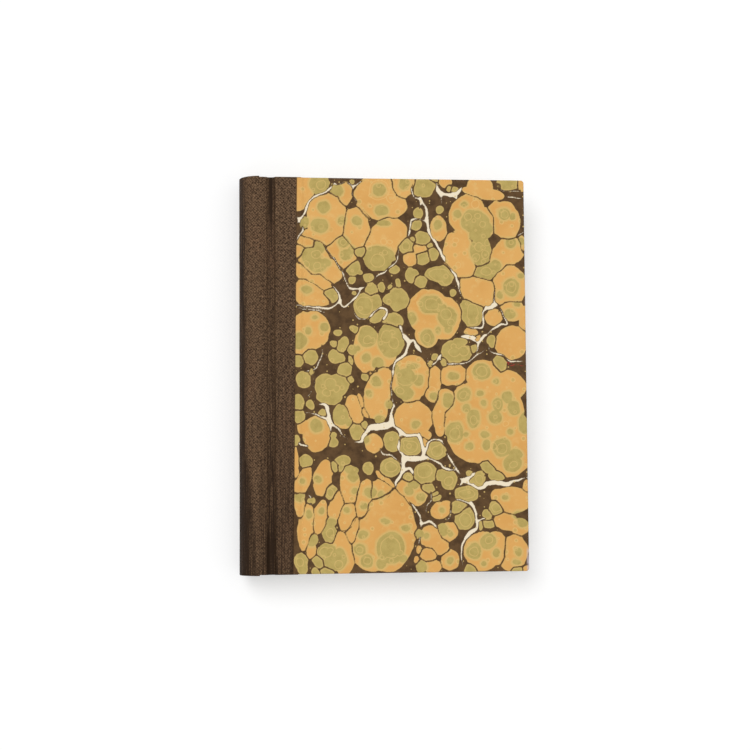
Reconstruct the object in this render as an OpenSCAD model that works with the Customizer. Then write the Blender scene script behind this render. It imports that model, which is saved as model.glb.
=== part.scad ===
// Quarter-bound hardback notebook: cloth spine, marbled paper sides, rounded text block.
// It lies on its back cover, spine towards -X, head towards +Y, with the origin
// under the middle of its outline.

/* [Text block] */
// Width of a page, from its spine fold to its fore-edge
page_w = 148; // [90:1:210]
// Height of a page, from tail to head
page_h = 210; // [120:1:297]
// Thickness of all the pages together
block_t = 16; // [8:0.5:30]
// Thickness of a flyleaf or a pastedown
leaf_t = 0.15; // [0.1:0.05:0.3]
// Air between a flyleaf and the pastedown above it
leaf_gap = 0.25; // [0.2:0.05:0.6]

/* [Case] */
// Thickness of a cover board
board_t = 2.5; // [2:0.1:4]
// How far a board stands out past the pages at head and tail
square_h = 2.75; // [1.5:0.25:6]
// How far a board stands out past the pages at the fore-edge
square_w = 2.35; // [1.5:0.05:6]
// Radius of a board's corners at the fore-edge
corner_r = 1.2; // [0.4:0.1:6]
// Thickness of the spine's card
card_t = 0.8; // [0.4:0.1:1.2]
// How far the card runs past the top of its curve, in degrees
card_angle = 15; // [6:1:22]
// Width of the joint's groove between spine and board
joint_w = 4.1; // [3:0.1:8]
// How far the spine's crest stays below the cover's face
crest_drop = 0.35; // [0.3:0.05:1]
// How far the cloth stands out past the card at head and tail
cap_h = 0.9; // [0.5:0.1:2]

/* [Covering] */
// Thickness of the book cloth
cloth_t = 0.4; // [0.2:0.05:0.6]
// Thickness of the marbled paper
paper_t = 0.2; // [0.1:0.05:0.3]
// Cloth that shows on the board at the head
cloth_w_head = 11.9; // [6:0.1:40]
// Cloth that shows on the board at the tail
cloth_w_tail = 9.4; // [6:0.1:40]
// How far the paper laps over the cloth
lap_w = 3; // [1.5:0.5:6]
// Depth of the turn-ins inside the boards
turn_in = 14; // [8:1:25]
// Margin between a pastedown and the board's edges
paste_margin = 3; // [2:0.5:6]
// Thickness of a printed field of colour
ink_t = 0.03; // [0.02:0.01:0.06]
// Brown that stays between two drops that meet
vein_gap = 0.6; // [0.4:0.1:2]
// Half width of the smallest drop printed on the front
front_smallest = 1.5; // [1:0.1:4]
// Half width of the smallest drop printed on the back
back_smallest = 6; // [3:0.5:10]

/* [Spine lining] */
// Thickness of the mull glued to the folds
mull_t = 0.25; // [0.15:0.05:0.4]
// Thickness of the lining paper over the mull
liner_t = 0.15; // [0.1:0.05:0.3]
// Air between the lining and the case, which makes the back hollow
hollow = 0.3; // [0.2:0.05:0.6]
// How far the mull stops short of head and tail
mull_short = 9; // [8:1:30]
// Radius of a headband's bead
bead_r = 0.8; // [0.5:0.1:1.4]
// Depth of a headband's tape on the folds
tape_h = 7; // [4:1:8]

/* [Joint] */
// Gap between the two halves of the cloth at a cover's hinge axis
hinge_gap = 0.3; // [0.2:0.05:0.6]

/* [Hidden] */

cloth_color = [0.25, 0.19, 0.15];
paper_color = [0.35, 0.26, 0.2];
ochre_color = [0.88, 0.68, 0.37];
olive_color = [0.72, 0.64, 0.37];
cream_color = [0.92, 0.88, 0.79];
page_color = [0.94, 0.91, 0.82];
board_color = [0.58, 0.54, 0.48];

// Heights of the layers above the middle of the book
fly_out = block_t / 2 + leaf_t;
paste_in = fly_out + leaf_gap;
paste_out = paste_in + leaf_t;
board_in = paste_out + cloth_t;
board_out = board_in + board_t;
cloth_out = board_out + cloth_t;
lap_out = cloth_out + paper_t;
mid_z = lap_out;

// Radii about the middle of the rounded spine
spine_r = cloth_out - crest_drop;
card_out_r = spine_r - cloth_t;
card_in_r = card_out_r - card_t;
fold_r = card_in_r - cloth_t;
liner_out_r = fold_r - hollow;
mull_out_r = liner_out_r - liner_t;
block_r = mull_out_r - mull_t;
arc_steps = 16;

// Half angle of the folds' curve, and how far the shoulder lies from its centre
block_angle = asin(block_t / 2 / block_r);
shoulder = block_r * cos(block_angle);

// The spine's centre, worked out so that the book's outline is centred on X
board_h = page_h + 2 * square_h;
total_w = spine_r + page_w - shoulder + square_w + paper_t;
spine_x = spine_r - total_w / 2;

// The card's rounded end, with the cloth wrapped round it
end_angle = 90 - card_angle;
end_c = (card_in_r + card_t / 2) * [cos(end_angle), sin(end_angle)];
wrap_r = card_t / 2 + cloth_t;
floor_out = end_c.y - card_t / 2;
floor_in = floor_out - cloth_t;
floor_angle = -asin(card_t / 2 / wrap_r);

// Places across the book
joint_x = spine_x + end_c.x + wrap_r + joint_w / 2;
board_x0 = joint_x + joint_w / 2 + cloth_t;
board_x1 = total_w / 2 - paper_t;
fore_x = spine_x + page_w - shoulder;
half_h = board_h / 2;
past = 1;
weld = 0.1;

// The marbling was laid out on a cover of this size, in X from the paper's askew edge
// to the fore-edge; on another cover its drops and veins keep their places in proportion
drawn_tail_x = -50.2;
drawn_head_x = -47.7;
drawn_fore_x = 78.55;
drawn_half_h = 107.75;

// Sides of an oval's outline: of a large one, a middling one and a small one
large_oval = 9;
middling_oval = 4.5;
oval_sides = [16, 11, 8];
facing = 0.05;

function arc(c, r, from, to, steps) =
    [for (i = [0:steps]) c + r * [cos(from + (to - from) * i / steps),
                                  sin(from + (to - from) * i / steps)]];
function flip(points) =
    [for (i = [len(points) - 1:-1:0]) [points[i].x, -points[i].y]];
function backward(points) = [for (i = [len(points) - 1:-1:0]) points[i]];
function mirrored(points) = [for (p = points) [p.x, -p.y]];
function rest(points) = [for (i = [1:len(points) - 1]) points[i]];

// Where the paper starts over the cloth: its edge was cut slightly askew
function paper_x(y) = board_x0 - cloth_t
    + (cloth_w_head + cloth_w_tail) / 2
    + (cloth_w_head - cloth_w_tail) * y / board_h;
function strip(x0, dx0, x1, dx1, h) =
    [[x0 + (dx0 ? paper_x(-h) : 0), -h], [x1 + (dx1 ? paper_x(-h) : 0), -h],
     [x1 + (dx1 ? paper_x(h) : 0), h], [x0 + (dx0 ? paper_x(h) : 0), h]];

// Extrudes a section drawn in X and Z along the book
module along(length) rotate([90, 0, 0]) linear_extrude(height = length, center = true) children();
module at_spine() translate([spine_x, 0, mid_z]) children();
module at_middle() translate([0, 0, mid_z]) children();
module slab(z0, z1) translate([0, 0, z0]) linear_extrude(height = z1 - z0) children();
module box(x0, x1, y0, y1, z0, z1) translate([x0, y0, z0]) cube([x1 - x0, y1 - y0, z1 - z0]);
module over_back() mirror([0, 0, 1]) children();

// A band of the spine's curve between two radii, over the same angles as the folds
module fold_band(r_in, r_out) {
    polygon(concat(arc([0, 0], r_out, 180 - block_angle, 180 + block_angle, arc_steps),
                   arc([0, 0], r_in, 180 + block_angle, 180 - block_angle, arc_steps)));
}

// Pages: round at the spine, hollow at the fore-edge, as the sewn sections settle
module text_block() {
    color(page_color) at_spine() along(page_h) polygon(concat(
        arc([0, 0], block_r, 180 - block_angle, 180 + block_angle, arc_steps),
        arc([page_w, 0], block_r, 180 + block_angle, 180 - block_angle, arc_steps)));
}
module flyleaf() {
    color(page_color) box(spine_x - shoulder + leaf_t, fore_x,
        -page_h / 2, page_h / 2, block_t / 2, fly_out);
}
module front_flyleaf() at_middle() flyleaf();
module back_flyleaf() at_middle() over_back() flyleaf();

// Lining of the folds
module mull() {
    color([0.86, 0.83, 0.74]) at_spine() along(page_h - 2 * mull_short)
        fold_band(block_r, mull_out_r);
}
module spine_liner() {
    color([0.66, 0.52, 0.36]) at_spine() along(page_h - 2 * square_h)
        fold_band(mull_out_r, liner_out_r);
}
// A rolled bead on the ends of the folds, with the tape that holds it
module band() {
    color([0.75, 0.66, 0.5]) at_spine() {
        translate([0, page_h / 2 - tape_h / 2 + bead_r / 2, 0]) along(tape_h + bead_r)
            fold_band(block_r, mull_out_r);
        translate([0, page_h / 2 + bead_r, 0]) rotate([-90, 0, 0])
            rotate([0, 0, 180 - block_angle]) rotate_extrude(angle = 2 * block_angle, $fn = 48)
                translate([block_r - bead_r / 2, 0]) circle(r = bead_r, $fn = 32);
    }
}
module head_band() band();
module tail_band() mirror([0, 1, 0]) band();

// Card that keeps the hollow back's curve
card_top = concat(arc(end_c, card_t / 2, -90, end_angle, 8),
    rest(arc([0, 0], card_out_r, end_angle, 180, arc_steps)));
card_under = concat(arc(end_c, card_t / 2, -90, end_angle - 180, 4),
    rest(arc([0, 0], card_in_r, end_angle, 180, arc_steps)));
module spine_card() {
    color(board_color) at_spine() along(board_h) polygon(concat(
        card_top, rest(flip(card_top)), rest(mirrored(card_under)), rest(flip(mirrored(card_under)))));
}

// Cloth of the spine, from one hinge axis round the card's back to the other
cloth_top = concat([[joint_x - spine_x - hinge_gap / 2, floor_out]],
    arc(end_c, wrap_r, floor_angle, end_angle, 6),
    rest(arc([0, 0], spine_r, end_angle, 180, arc_steps)));
cloth_under = concat([[joint_x - spine_x - hinge_gap / 2, floor_in], [end_c.x, floor_in]],
    arc(end_c, card_t / 2, -90, end_angle, 8),
    rest(arc([0, 0], card_out_r, end_angle, 180, arc_steps)));
module turned_cloth(r_out) {
    polygon(concat(arc([0, 0], r_out, end_angle, 360 - end_angle, 2 * arc_steps),
                   arc([0, 0], fold_r, 360 - end_angle, end_angle, 2 * arc_steps)));
}
module spine_cloth() {
    color(cloth_color) at_spine() {
        along(board_h + 2 * cap_h) polygon(concat(cloth_top, rest(flip(cloth_top)),
            mirrored(cloth_under), rest(flip(mirrored(cloth_under)))));
        for (end = [-1, 1]) {
            translate([0, end * (half_h + cap_h / 2), 0]) along(cap_h) turned_cloth(card_out_r + weld);
            translate([0, end * (half_h - turn_in / 2), 0]) along(turn_in) turned_cloth(card_in_r);
        }
    }
}

// A board's outline with its two rounded corners, larger by what covers it
function board_outline(skin) = concat(
    [[board_x0, -half_h - skin]],
    arc([board_x1 - corner_r, -half_h + corner_r], corner_r + skin, -90, 0, 5),
    arc([board_x1 - corner_r, half_h - corner_r], corner_r + skin, 0, 90, 5),
    [[board_x0, half_h + skin]]);
module board() color(board_color) slab(board_in, board_out) polygon(board_outline(0));
module front_board() at_middle() board();
module back_board() at_middle() over_back() board();

// Cloth on a cover: groove, board's spine edge, face and turn-ins
module cloth_side() {
    difference() {
        slab(board_in - cloth_t, cloth_out)
            polygon(strip(board_x0 - cloth_t, false, lap_w, true, half_h + cloth_t));
        slab(board_in, board_out) polygon(strip(board_x0, false, lap_w + past, true, half_h));
        box(board_x0 - past, board_x1, -half_h + turn_in, half_h - turn_in, paste_in, board_in);
    }
    box(joint_x + hinge_gap / 2, board_x0, -half_h - cloth_t, half_h + cloth_t,
        floor_in, floor_out);
}
module front_cloth_side() color(cloth_color) at_middle() cloth_side();
module back_cloth_side() color(cloth_color) at_middle() over_back() cloth_side();

// Marbled paper: face, three edges and turn-ins, and its lap over the cloth
module side_paper() {
    difference() {
        union() {
            slab(board_in - paper_t, board_out + paper_t) intersection() {
                polygon(board_outline(paper_t));
                polygon(strip(lap_w, true, board_x1 + past, false, half_h + past));
            }
            slab(board_in - cloth_t, lap_out)
                polygon(strip(0, true, lap_w + paper_t, true, half_h + cloth_t + paper_t));
        }
        slab(board_in, board_out) polygon(board_outline(0));
        slab(board_in - past, cloth_out)
            polygon(strip(-past, true, lap_w, true, half_h + cloth_t));
        box(board_x0 - past, board_x1 - turn_in, -half_h + turn_in, half_h - turn_in,
            paste_in, board_in);
    }
}
module front_side_paper() color(paper_color) at_middle() side_paper();
module back_side_paper() color(paper_color) at_middle() over_back() side_paper();

// Pastedown: lies on the turn-ins and fills what they leave open
module pastedown() {
    difference() {
        box(board_x0 + leaf_t, board_x1 - paste_margin,
            -half_h + paste_margin, half_h - paste_margin, paste_in, board_in);
        slab(paste_out, board_in + past)
            difference() {
                polygon(strip(board_x0 - past, false, lap_w + paper_t, true, half_h));
                square([2 * total_w, board_h - 2 * turn_in], center = true);
            }
        slab(board_in - paper_t, board_in + past)
            difference() {
                polygon(strip(lap_w, true, board_x1, false, half_h));
                translate([board_x1 - turn_in - 2 * total_w, -half_h + turn_in])
                    square([2 * total_w, board_h - 2 * turn_in]);
            }
    }
}
module front_pastedown() color(page_color) at_middle() pastedown();
module back_pastedown() color(page_color) at_middle() over_back() pastedown();

// Drops of colour, as they spread on the bath: each drop is one or more ovals that ran
// together, and each oval is colour, X, Y, half width, half height and lean in degrees
ochre = 0;
olive = 1;
drops = [
    [[ochre, -44.7, 99.5, 6.3, 10.8, -15], [olive, -34.8, 104.2, 5.6, 5.6, 0]],
    [[ochre, -31.2, 85, 11.2, 14, 0], [olive, -43.6, 82.8, 2.8, 3, 0], [ochre, -41, 76.5, 4, 2.5, -20]],
    [[olive, -25.6, 101, 3.6, 4, 0], [ochre, -21, 99.5, 4.2, 6.6, 0]],
    [[ochre, -15.3, 79.8, 7.9, 11.8, 0]],
    [[ochre, -3.5, 98, 11.8, 12.5, 0], [ochre, 5.5, 93, 8, 6.3, 0]],
    [[olive, -17, 105.8, 1.2, 1.6, 0]],
    [[ochre, -42.8, 72.3, 4.8, 3.3, -15]],
    [[ochre, -38, 62.3, 8.5, 7.5, -10], [ochre, -28.3, 56.3, 6, 6.8, 20], [olive, -35.7, 69.5, 3.5, 4.2, 0]],
    [[ochre, -45.8, 67, 3, 3.5, 0]],
    [[ochre, -23.3, 69, 7.2, 7.4, 0], [ochre, -21.5, 63, 6.3, 5.2, 0]],
    [[olive, -16.6, 58.2, 4.1, 4, 0], [olive, -13.2, 55.8, 1.5, 1.5, 0]],
    [[olive, -17.4, 51.2, 2.3, 2.1, 0]],
    [[olive, -16.5, 44.7, 1.2, 1.2, 0]],
    [[olive, -12.8, 67.5, 3.3, 2.9, 0]],
    [[ochre, 3.5, 78, 9.8, 8, 15], [ochre, -1.5, 70, 9, 9.5, 0], [olive, -2.5, 63.5, 8.8, 7.2, 0]],
    [[olive, -8.3, 53, 2.9, 2.3, 0]],
    [[olive, -7, 46.2, 3.4, 3.8, 0]],
    [[olive, -11, 37, 5.9, 7, 0], [olive, -5.5, 38.5, 4, 5.6, 0]],
    [[olive, -3, 31.8, 4.8, 3.3, 30]],
    [[olive, 8, 40.8, 5.4, 6.2, 0], [olive, 3.6, 41.2, 3.8, 3.4, 20], [olive, 6, 45.5, 2, 2, 0]],
    [[olive, 5.5, 29, 5.3, 4.4, -20], [olive, 1.3, 29.2, 2, 2, 0]],
    [[ochre, -9.5, 13.5, 7.5, 13.2, 0], [olive, 3.8, 18.5, 7.3, 9.4, 0], [olive, -17.5, 13, 2.5, 2.5, 0],
     [ochre, -1, 11, 8, 7.5, 30]],
    [[olive, -1, 47.8, 1.7, 2.8, 0]],
    [[olive, 8.2, 50.3, 1.1, 2.4, 10]],
    [[olive, 3.8, 48, 1.2, 1.2, 0]],
    [[olive, 6.2, 57.5, 3.2, 2.2, 0]],
    [[olive, 4.8, 61, 1.4, 1.4, 0]],
    [[ochre, 14.8, 63.5, 4, 4, 0], [ochre, 19.8, 69, 3.8, 2.6, -10]],
    [[olive, 13, 70.3, 4.4, 4.2, 0]],
    [[olive, 21.5, 75.2, 4.3, 3.6, 0]],
    [[olive, 16.8, 74.5, 1.8, 1.6, 0]],
    [[olive, 25.5, 71, 1.6, 1.2, 20]],
    [[olive, 18.2, 82.2, 3.2, 2.4, 20]],
    [[olive, 19.3, 89, 2.8, 3.5, 0]],
    [[olive, 22.3, 103.3, 5.8, 5.9, 0], [olive, 26, 104.5, 3, 3.8, 0]],
    [[ochre, 11, 105, 7, 7.5, 0]],
    [[olive, 31.5, 91, 2.2, 2.1, 0]],
    [[olive, 30.5, 80.5, 4.8, 6.9, 0]],
    [[olive, 21.8, 64, 3.6, 3.9, 0]],
    [[olive, 27.6, 65.8, 3.2, 3.4, 0]],
    [[olive, 14.8, 54, 3, 4.2, 0], [olive, 17, 55.5, 2.5, 2, 0]],
    [[olive, 20.3, 50.6, 3.6, 3, 0]],
    [[olive, 31.5, 55, 8.3, 4.6, 5], [olive, 33.5, 53.5, 5, 5, 0]],
    [[ochre, 25, 34, 12, 12.8, 0], [ochre, 33, 31, 9.3, 12, 0], [ochre, 23.5, 21.5, 6.5, 7, 0]],
    [[olive, 38.3, 45.2, 1.9, 2, 0]],
    [[ochre, 47, 88, 10.8, 11, 0], [ochre, 53.5, 83.5, 9.3, 10, 0]],
    [[ochre, 41.5, 67.5, 8.3, 13.5, -5], [ochre, 45, 60.5, 5.5, 7, 0], [olive, 54.3, 68.5, 5.8, 8.5, 0]],
    [[ochre, 68.3, 85.5, 8.2, 10.8, 10], [ochre, 63.5, 91, 4.5, 5, 0]],
    [[ochre, 54, 104.5, 7.3, 6, 0], [ochre, 56, 100.8, 12, 3.4, -8]],
    [[olive, 70, 107, 6.2, 4.7, 0]],
    [[ochre, 78, 106, 2.6, 4.2, 0]],
    [[olive, 36.7, 103.2, 1.5, 2, 0]],
    [[olive, 40, 102.3, 1.9, 1.6, 0]],
    [[ochre, 34.8, 107, 3.7, 4, 0]],
    [[olive, 27.8, 108, 2.4, 2, 0]],
    [[olive, 65, 105, 1.2, 1.2, 0]],
    [[ochre, 70, 68, 9, 7.2, 20], [olive, 57.5, 56.8, 7, 4.8, 15], [ochre, 64, 62, 5, 6, 0]],
    [[ochre, 77.6, 72, 2.2, 5, 0]],
    [[ochre, 52, 46, 9.6, 8, -10], [ochre, 57.5, 41.5, 3.8, 5, 0], [ochre, 46, 50, 4, 4, 0]],
    [[olive, 49, 32.8, 5.7, 7.3, 0], [olive, 46.5, 37.5, 4.2, 4, 0]],
    [[ochre, 61, 31, 4.7, 4.8, 0]],
    [[ochre, 70.5, 49.5, 9.5, 10.5, 0], [ochre, 65, 43, 3.5, 4.5, 0]],
    [[ochre, 71.5, 35.3, 6.5, 6.3, 0], [ochre, 78, 31, 3.2, 7, 0]],
    [[ochre, 70.5, 17, 9.2, 9.6, 0]],
    [[olive, 59.3, 18, 2.2, 3.7, 0]],
    [[ochre, 51.9, 19.4, 2.1, 2.2, 0]],
    [[ochre, 48.3, 22.7, 3.8, 2.3, -10]],
    [[olive, 38.5, 12, 7, 6.3, 0], [olive, 42, 17.5, 4, 2.3, 0], [olive, 44.5, 11.5, 3.5, 4, 0]],
    [[olive, 49.5, 13.8, 2.1, 1.9, 0]],
    [[olive, 64.2, 5.6, 3.8, 4.3, 0]],
    [[olive, 27.7, 9.8, 1.8, 1.8, 0]],
    [[olive, 25.5, 5.8, 1.5, 1.3, 0]],
    [[olive, 33, 6.5, 2, 2.2, 0]],
    [[ochre, 27.8, -3, 3.3, 7.5, 0], [ochre, 26.3, -11.5, 3.6, 4.2, 0]],
    [[ochre, 14.3, -2.5, 10.3, 13.2, -8]],
    [[ochre, -4, -12, 7.2, 13, -8], [ochre, 0, -2, 4, 5.6, 0], [olive, 2.8, -17, 2.8, 2.5, 0],
     [olive, -2.5, -25, 2.8, 2.5, 0], [ochre, -3, -21, 4.3, 5, 10]],
    [[ochre, -8.2, 0.9, 1.3, 1.2, 0]],
    [[ochre, 15.8, -24.3, 10.3, 9.2, 0], [ochre, 23, -33, 2.8, 2.5, 0]],
    [[ochre, 38, -0.5, 7.2, 5.7, 10]],
    [[ochre, 33.5, -14.5, 5, 6.7, 0], [ochre, 30, -25.5, 3.3, 9, 5]],
    [[ochre, 54.5, -1.5, 9.5, 9.2, 0], [ochre, 68, -7, 10.5, 8.5, 0], [ochre, 57, -20, 20, 18, 0],
     [ochre, 50, -34, 15.5, 14.5, 0], [ochre, 69, -38, 14, 18.5, 0], [ochre, 40, -27, 7.5, 11, 0],
     [ochre, 43, -11, 4.5, 5, 0]],
    [[ochre, -40.5, 24, 11, 10.5, -15], [ochre, -46, 15.5, 4.5, 5, 0]],
    [[ochre, -41.5, 44.5, 8.5, 8, -20], [ochre, -35.5, 40.3, 6.3, 4, 0]],
    [[ochre, -44.5, 56, 5.5, 3.8, -40], [ochre, -36, 50.5, 8, 4, -15]],
    [[olive, -29.2, 43, 4.1, 4, 0]],
    [[olive, -40, 9, 3.7, 4, 0]],
    [[olive, -46.8, 6.8, 2.8, 3.5, 0]],
    [[olive, -39.8, 1.5, 1.5, 1.5, 0]],
    [[olive, -44.3, -3.2, 3.9, 4.6, 0]],
    [[olive, -31.5, -7, 6.5, 7, 0], [olive, -26, -6.5, 6.2, 6.5, 0], [olive, -30, -12.5, 7.2, 4.3, 0],
     [olive, -33.5, -4, 4.3, 4, 0]],
    [[olive, -47, -15.5, 3, 4.2, 10]],
    [[olive, -40.4, -16.7, 1.9, 2.9, 15]],
    [[olive, -46.8, -23, 3.2, 3.8, 0]],
    [[olive, -34, -21.5, 2, 2.2, 0]],
    [[olive, -24, -22.5, 4.3, 5.5, 0], [ochre, -23, -26, 4.5, 4, 0], [olive, -19.5, -26.5, 1.5, 2, 0]],
    [[ochre, -17, -18, 3.7, 6.5, 12], [ochre, -15, -24, 2.9, 3.6, 10]],
    [[ochre, -13.2, -15.2, 1.1, 4.2, 18]],
    [[ochre, -10.5, -21.5, 1.1, 3.2, 30]],
    [[olive, -15.2, -31.5, 3.9, 4.6, 0]],
    [[olive, -11.3, -28, 2, 2, 0]],
    [[ochre, -37, -32.5, 7.5, 9.8, -5], [ochre, -43, -29.5, 4.7, 3.8, 0]],
    [[olive, -28.2, -37.4, 2.7, 2.7, 0], [olive, -28.3, -33.5, 2.3, 1.7, 0]],
    [[olive, -43, -46.8, 3.3, 3.4, 0]],
    [[olive, -48.3, -36.3, 2.2, 2.9, 0]],
    [[ochre, -48.6, -48.5, 1.5, 8.5, 0]],
    [[ochre, -44.5, -57.8, 3.8, 8, -20]],
    [[ochre, -33.7, -55.5, 4.8, 8.8, -10], [ochre, -34.5, -61.5, 4.8, 5, 0]],
    [[olive, -29.8, -64.3, 3.6, 4.2, 0]],
    [[olive, -22.7, -47, 4, 2.9, 0], [olive, -24.3, -51.3, 1.8, 1.8, 0]],
    [[olive, -27.7, -50.5, 1.9, 2.6, 0]],
    [[ochre, -19.5, -59, 5.3, 8, 0], [ochre, -20, -65.5, 3.9, 5, 0], [olive, -18.5, -52.2, 3.6, 2, 0]],
    [[olive, -9.3, -51.5, 3.1, 3.8, 0]],
    [[ochre, -6.3, -38, 4.5, 5.4, 0], [olive, -10, -35.5, 1.9, 2.6, 0]],
    [[olive, 4, -37, 4.6, 5.8, 0]],
    [[olive, 14, -39.5, 6.3, 5.8, 0]],
    [[ochre, 21.9, -37.5, 1.5, 3.8, 0]],
    [[olive, 28, -42, 5.4, 5, 0]],
    [[olive, 3, -50.8, 5.8, 5.2, 0]],
    [[ochre, -2.3, -55.8, 1.3, 3.6, 38], [ochre, 2.3, -59.2, 1.2, 3.2, 50]],
    [[olive, 21.7, -54, 6.3, 5.9, 0]],
    [[olive, 12.5, -56.5, 2.3, 2.3, 0]],
    [[ochre, 10.5, -62.5, 4.7, 4.5, 0], [ochre, 16.5, -65.8, 6.5, 5.8, -10], [olive, 15.5, -60.5, 3.3, 2, 0]],
    [[olive, 23, -62.6, 4.2, 2.8, 0]],
    [[olive, 26.8, -65.3, 2.3, 1.1, 25]],
    [[olive, 28, -67.8, 3, 1.3, 25]],
    [[olive, 31.5, -55.3, 4.3, 3.2, 0], [olive, 35, -58, 4.3, 5.8, 0]],
    [[ochre, -46, -71.5, 2.9, 8, 8], [olive, -46.3, -66, 2.6, 3, 0]],
    [[ochre, -43.2, -82.5, 4.5, 12.5, -8]],
    [[ochre, -35.7, -77.3, 3.7, 8.8, -10]],
    [[olive, -39.7, -89.5, 3, 3.2, 0], [ochre, -40.4, -94, 2.2, 5.4, 0]],
    [[olive, -40, -68.3, 1.9, 1.8, 0]],
    [[ochre, -27, -71.5, 3.6, 8, -8], [olive, -30.5, -85.8, 3.9, 5, 0], [olive, -29.5, -80.5, 2.8, 2.5, 0]],
    [[ochre, -20.6, -78, 4.4, 7.5, -8]],
    [[ochre, -17.8, -84.8, 3.3, 7.2, -14]],
    [[ochre, -23.5, -97.5, 5.8, 12, 8], [olive, -32, -96, 5, 4.2, 0], [olive, -28.5, -101.5, 5, 4.5, -30]],
    [[ochre, -10.3, -65, 4, 7.5, 0], [ochre, -12, -72.5, 4.2, 7.3, 8]],
    [[ochre, -3, -65, 7, 7, -25]],
    [[ochre, 1, -85, 15.5, 22.5, 0], [ochre, -8, -94, 10, 13.5, 0]],
    [[olive, 18, -87, 2.8, 2, 0], [ochre, 24.5, -88.3, 5.6, 5.8, -25], [ochre, 30, -94, 4.3, 4.5, 0]],
    [[ochre, 23, -98.3, 4.4, 3.3, -15]],
    [[ochre, 18.3, -95.3, 1.1, 2.4, 0]],
    [[ochre, 16.7, -101.2, 1.1, 2, 0]],
    [[olive, 19.5, -105, 3, 3.4, 0], [ochre, 25.5, -105, 4.5, 4, 0]],
    [[ochre, 29.8, -74.8, 5.7, 4.5, 15], [ochre, 33, -72.5, 3, 3.6, 0]],
    [[ochre, 35, -86, 4.6, 5, 0], [olive, 31.3, -85, 3, 3.3, 0]],
    [[ochre, 35.3, -101.3, 4.9, 5.6, 0]],
    [[olive, 44.5, -66, 6.5, 4.5, 0]],
    [[olive, 43.5, -79, 5.5, 6.4, 0]],
    [[olive, 40.5, -73, 4.5, 3.8, -10]],
    [[olive, 51.5, -57.8, 4, 4.2, 0], [olive, 47.5, -58.5, 1.8, 2, 0]],
    [[olive, 46.2, -54.8, 1.8, 2, 0]],
    [[olive, 57, -51.5, 4.8, 2.9, -30], [olive, 61.5, -56, 4.3, 3.5, -20]],
    [[ochre, 70, -69, 9.5, 7.3, -8], [ochre, 62, -66.5, 4, 3.2, 20]],
    [[olive, 61.2, -73.3, 3.9, 4, 0]],
    [[ochre, 67, -81.5, 7.5, 4.6, -15], [ochre, 74, -83.5, 5.5, 4.6, -10]],
    [[olive, 55.7, -77.3, 2.1, 3.2, 15]],
    [[olive, 56.9, -82.3, 3, 2.3, 0]],
    [[olive, 52.3, -83, 0.9, 2.5, 0]],
    [[ochre, 53, -97, 10.2, 10.7, 0], [ochre, 60, -95.5, 7.3, 9, 0]],
    [[ochre, 71.3, -97, 7.2, 8.6, 0], [ochre, 67, -103, 3.5, 4.5, 0]],
    [[olive, 72, -108, 3, 2.2, 0]],
    [[ochre, 78, -108, 2.7, 3, 0]],
    [[olive, 46, -107.5, 3.4, 3.6, 0]],
    [[ochre, 78.3, -61.5, 2.1, 3.1, 0]],
    [[olive, -46, -101, 4, 4.5, 0], [olive, -44.8, -104.5, 2.9, 3.6, 0]],
    [[olive, -36.8, -101.5, 2.1, 3.8, 40]],
    [[olive, -38.2, -107.8, 2, 2.6, 0]],
    [[olive, -32, -107.3, 3.2, 2.6, -15]],
    [[olive, -22.6, 16.3, 2.7, 4.3, -20]],
    [[olive, -27.7, 16.3, 1.9, 1.8, 0]],
    [[olive, -27.5, 9.2, 3.2, 3.5, 0], [olive, -25, 9, 3, 2.5, 0]],
    [[olive, -21.6, 2.3, 3.9, 3.7, 0]],
    [[olive, -18.7, 7.3, 1, 2.6, 20]],
    [[olive, -18.5, -3.3, 1.7, 1.6, 0]],
    [[olive, -11, -2, 1.6, 1.8, 0]],
    [[olive, -16.7, 24.5, 2.5, 2.1, -30]],
    [[olive, -25.5, 22.7, 2, 1.6, 0]],
    [[olive, -41.5, 35, 1.4, 1.2, 0]]];

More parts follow.
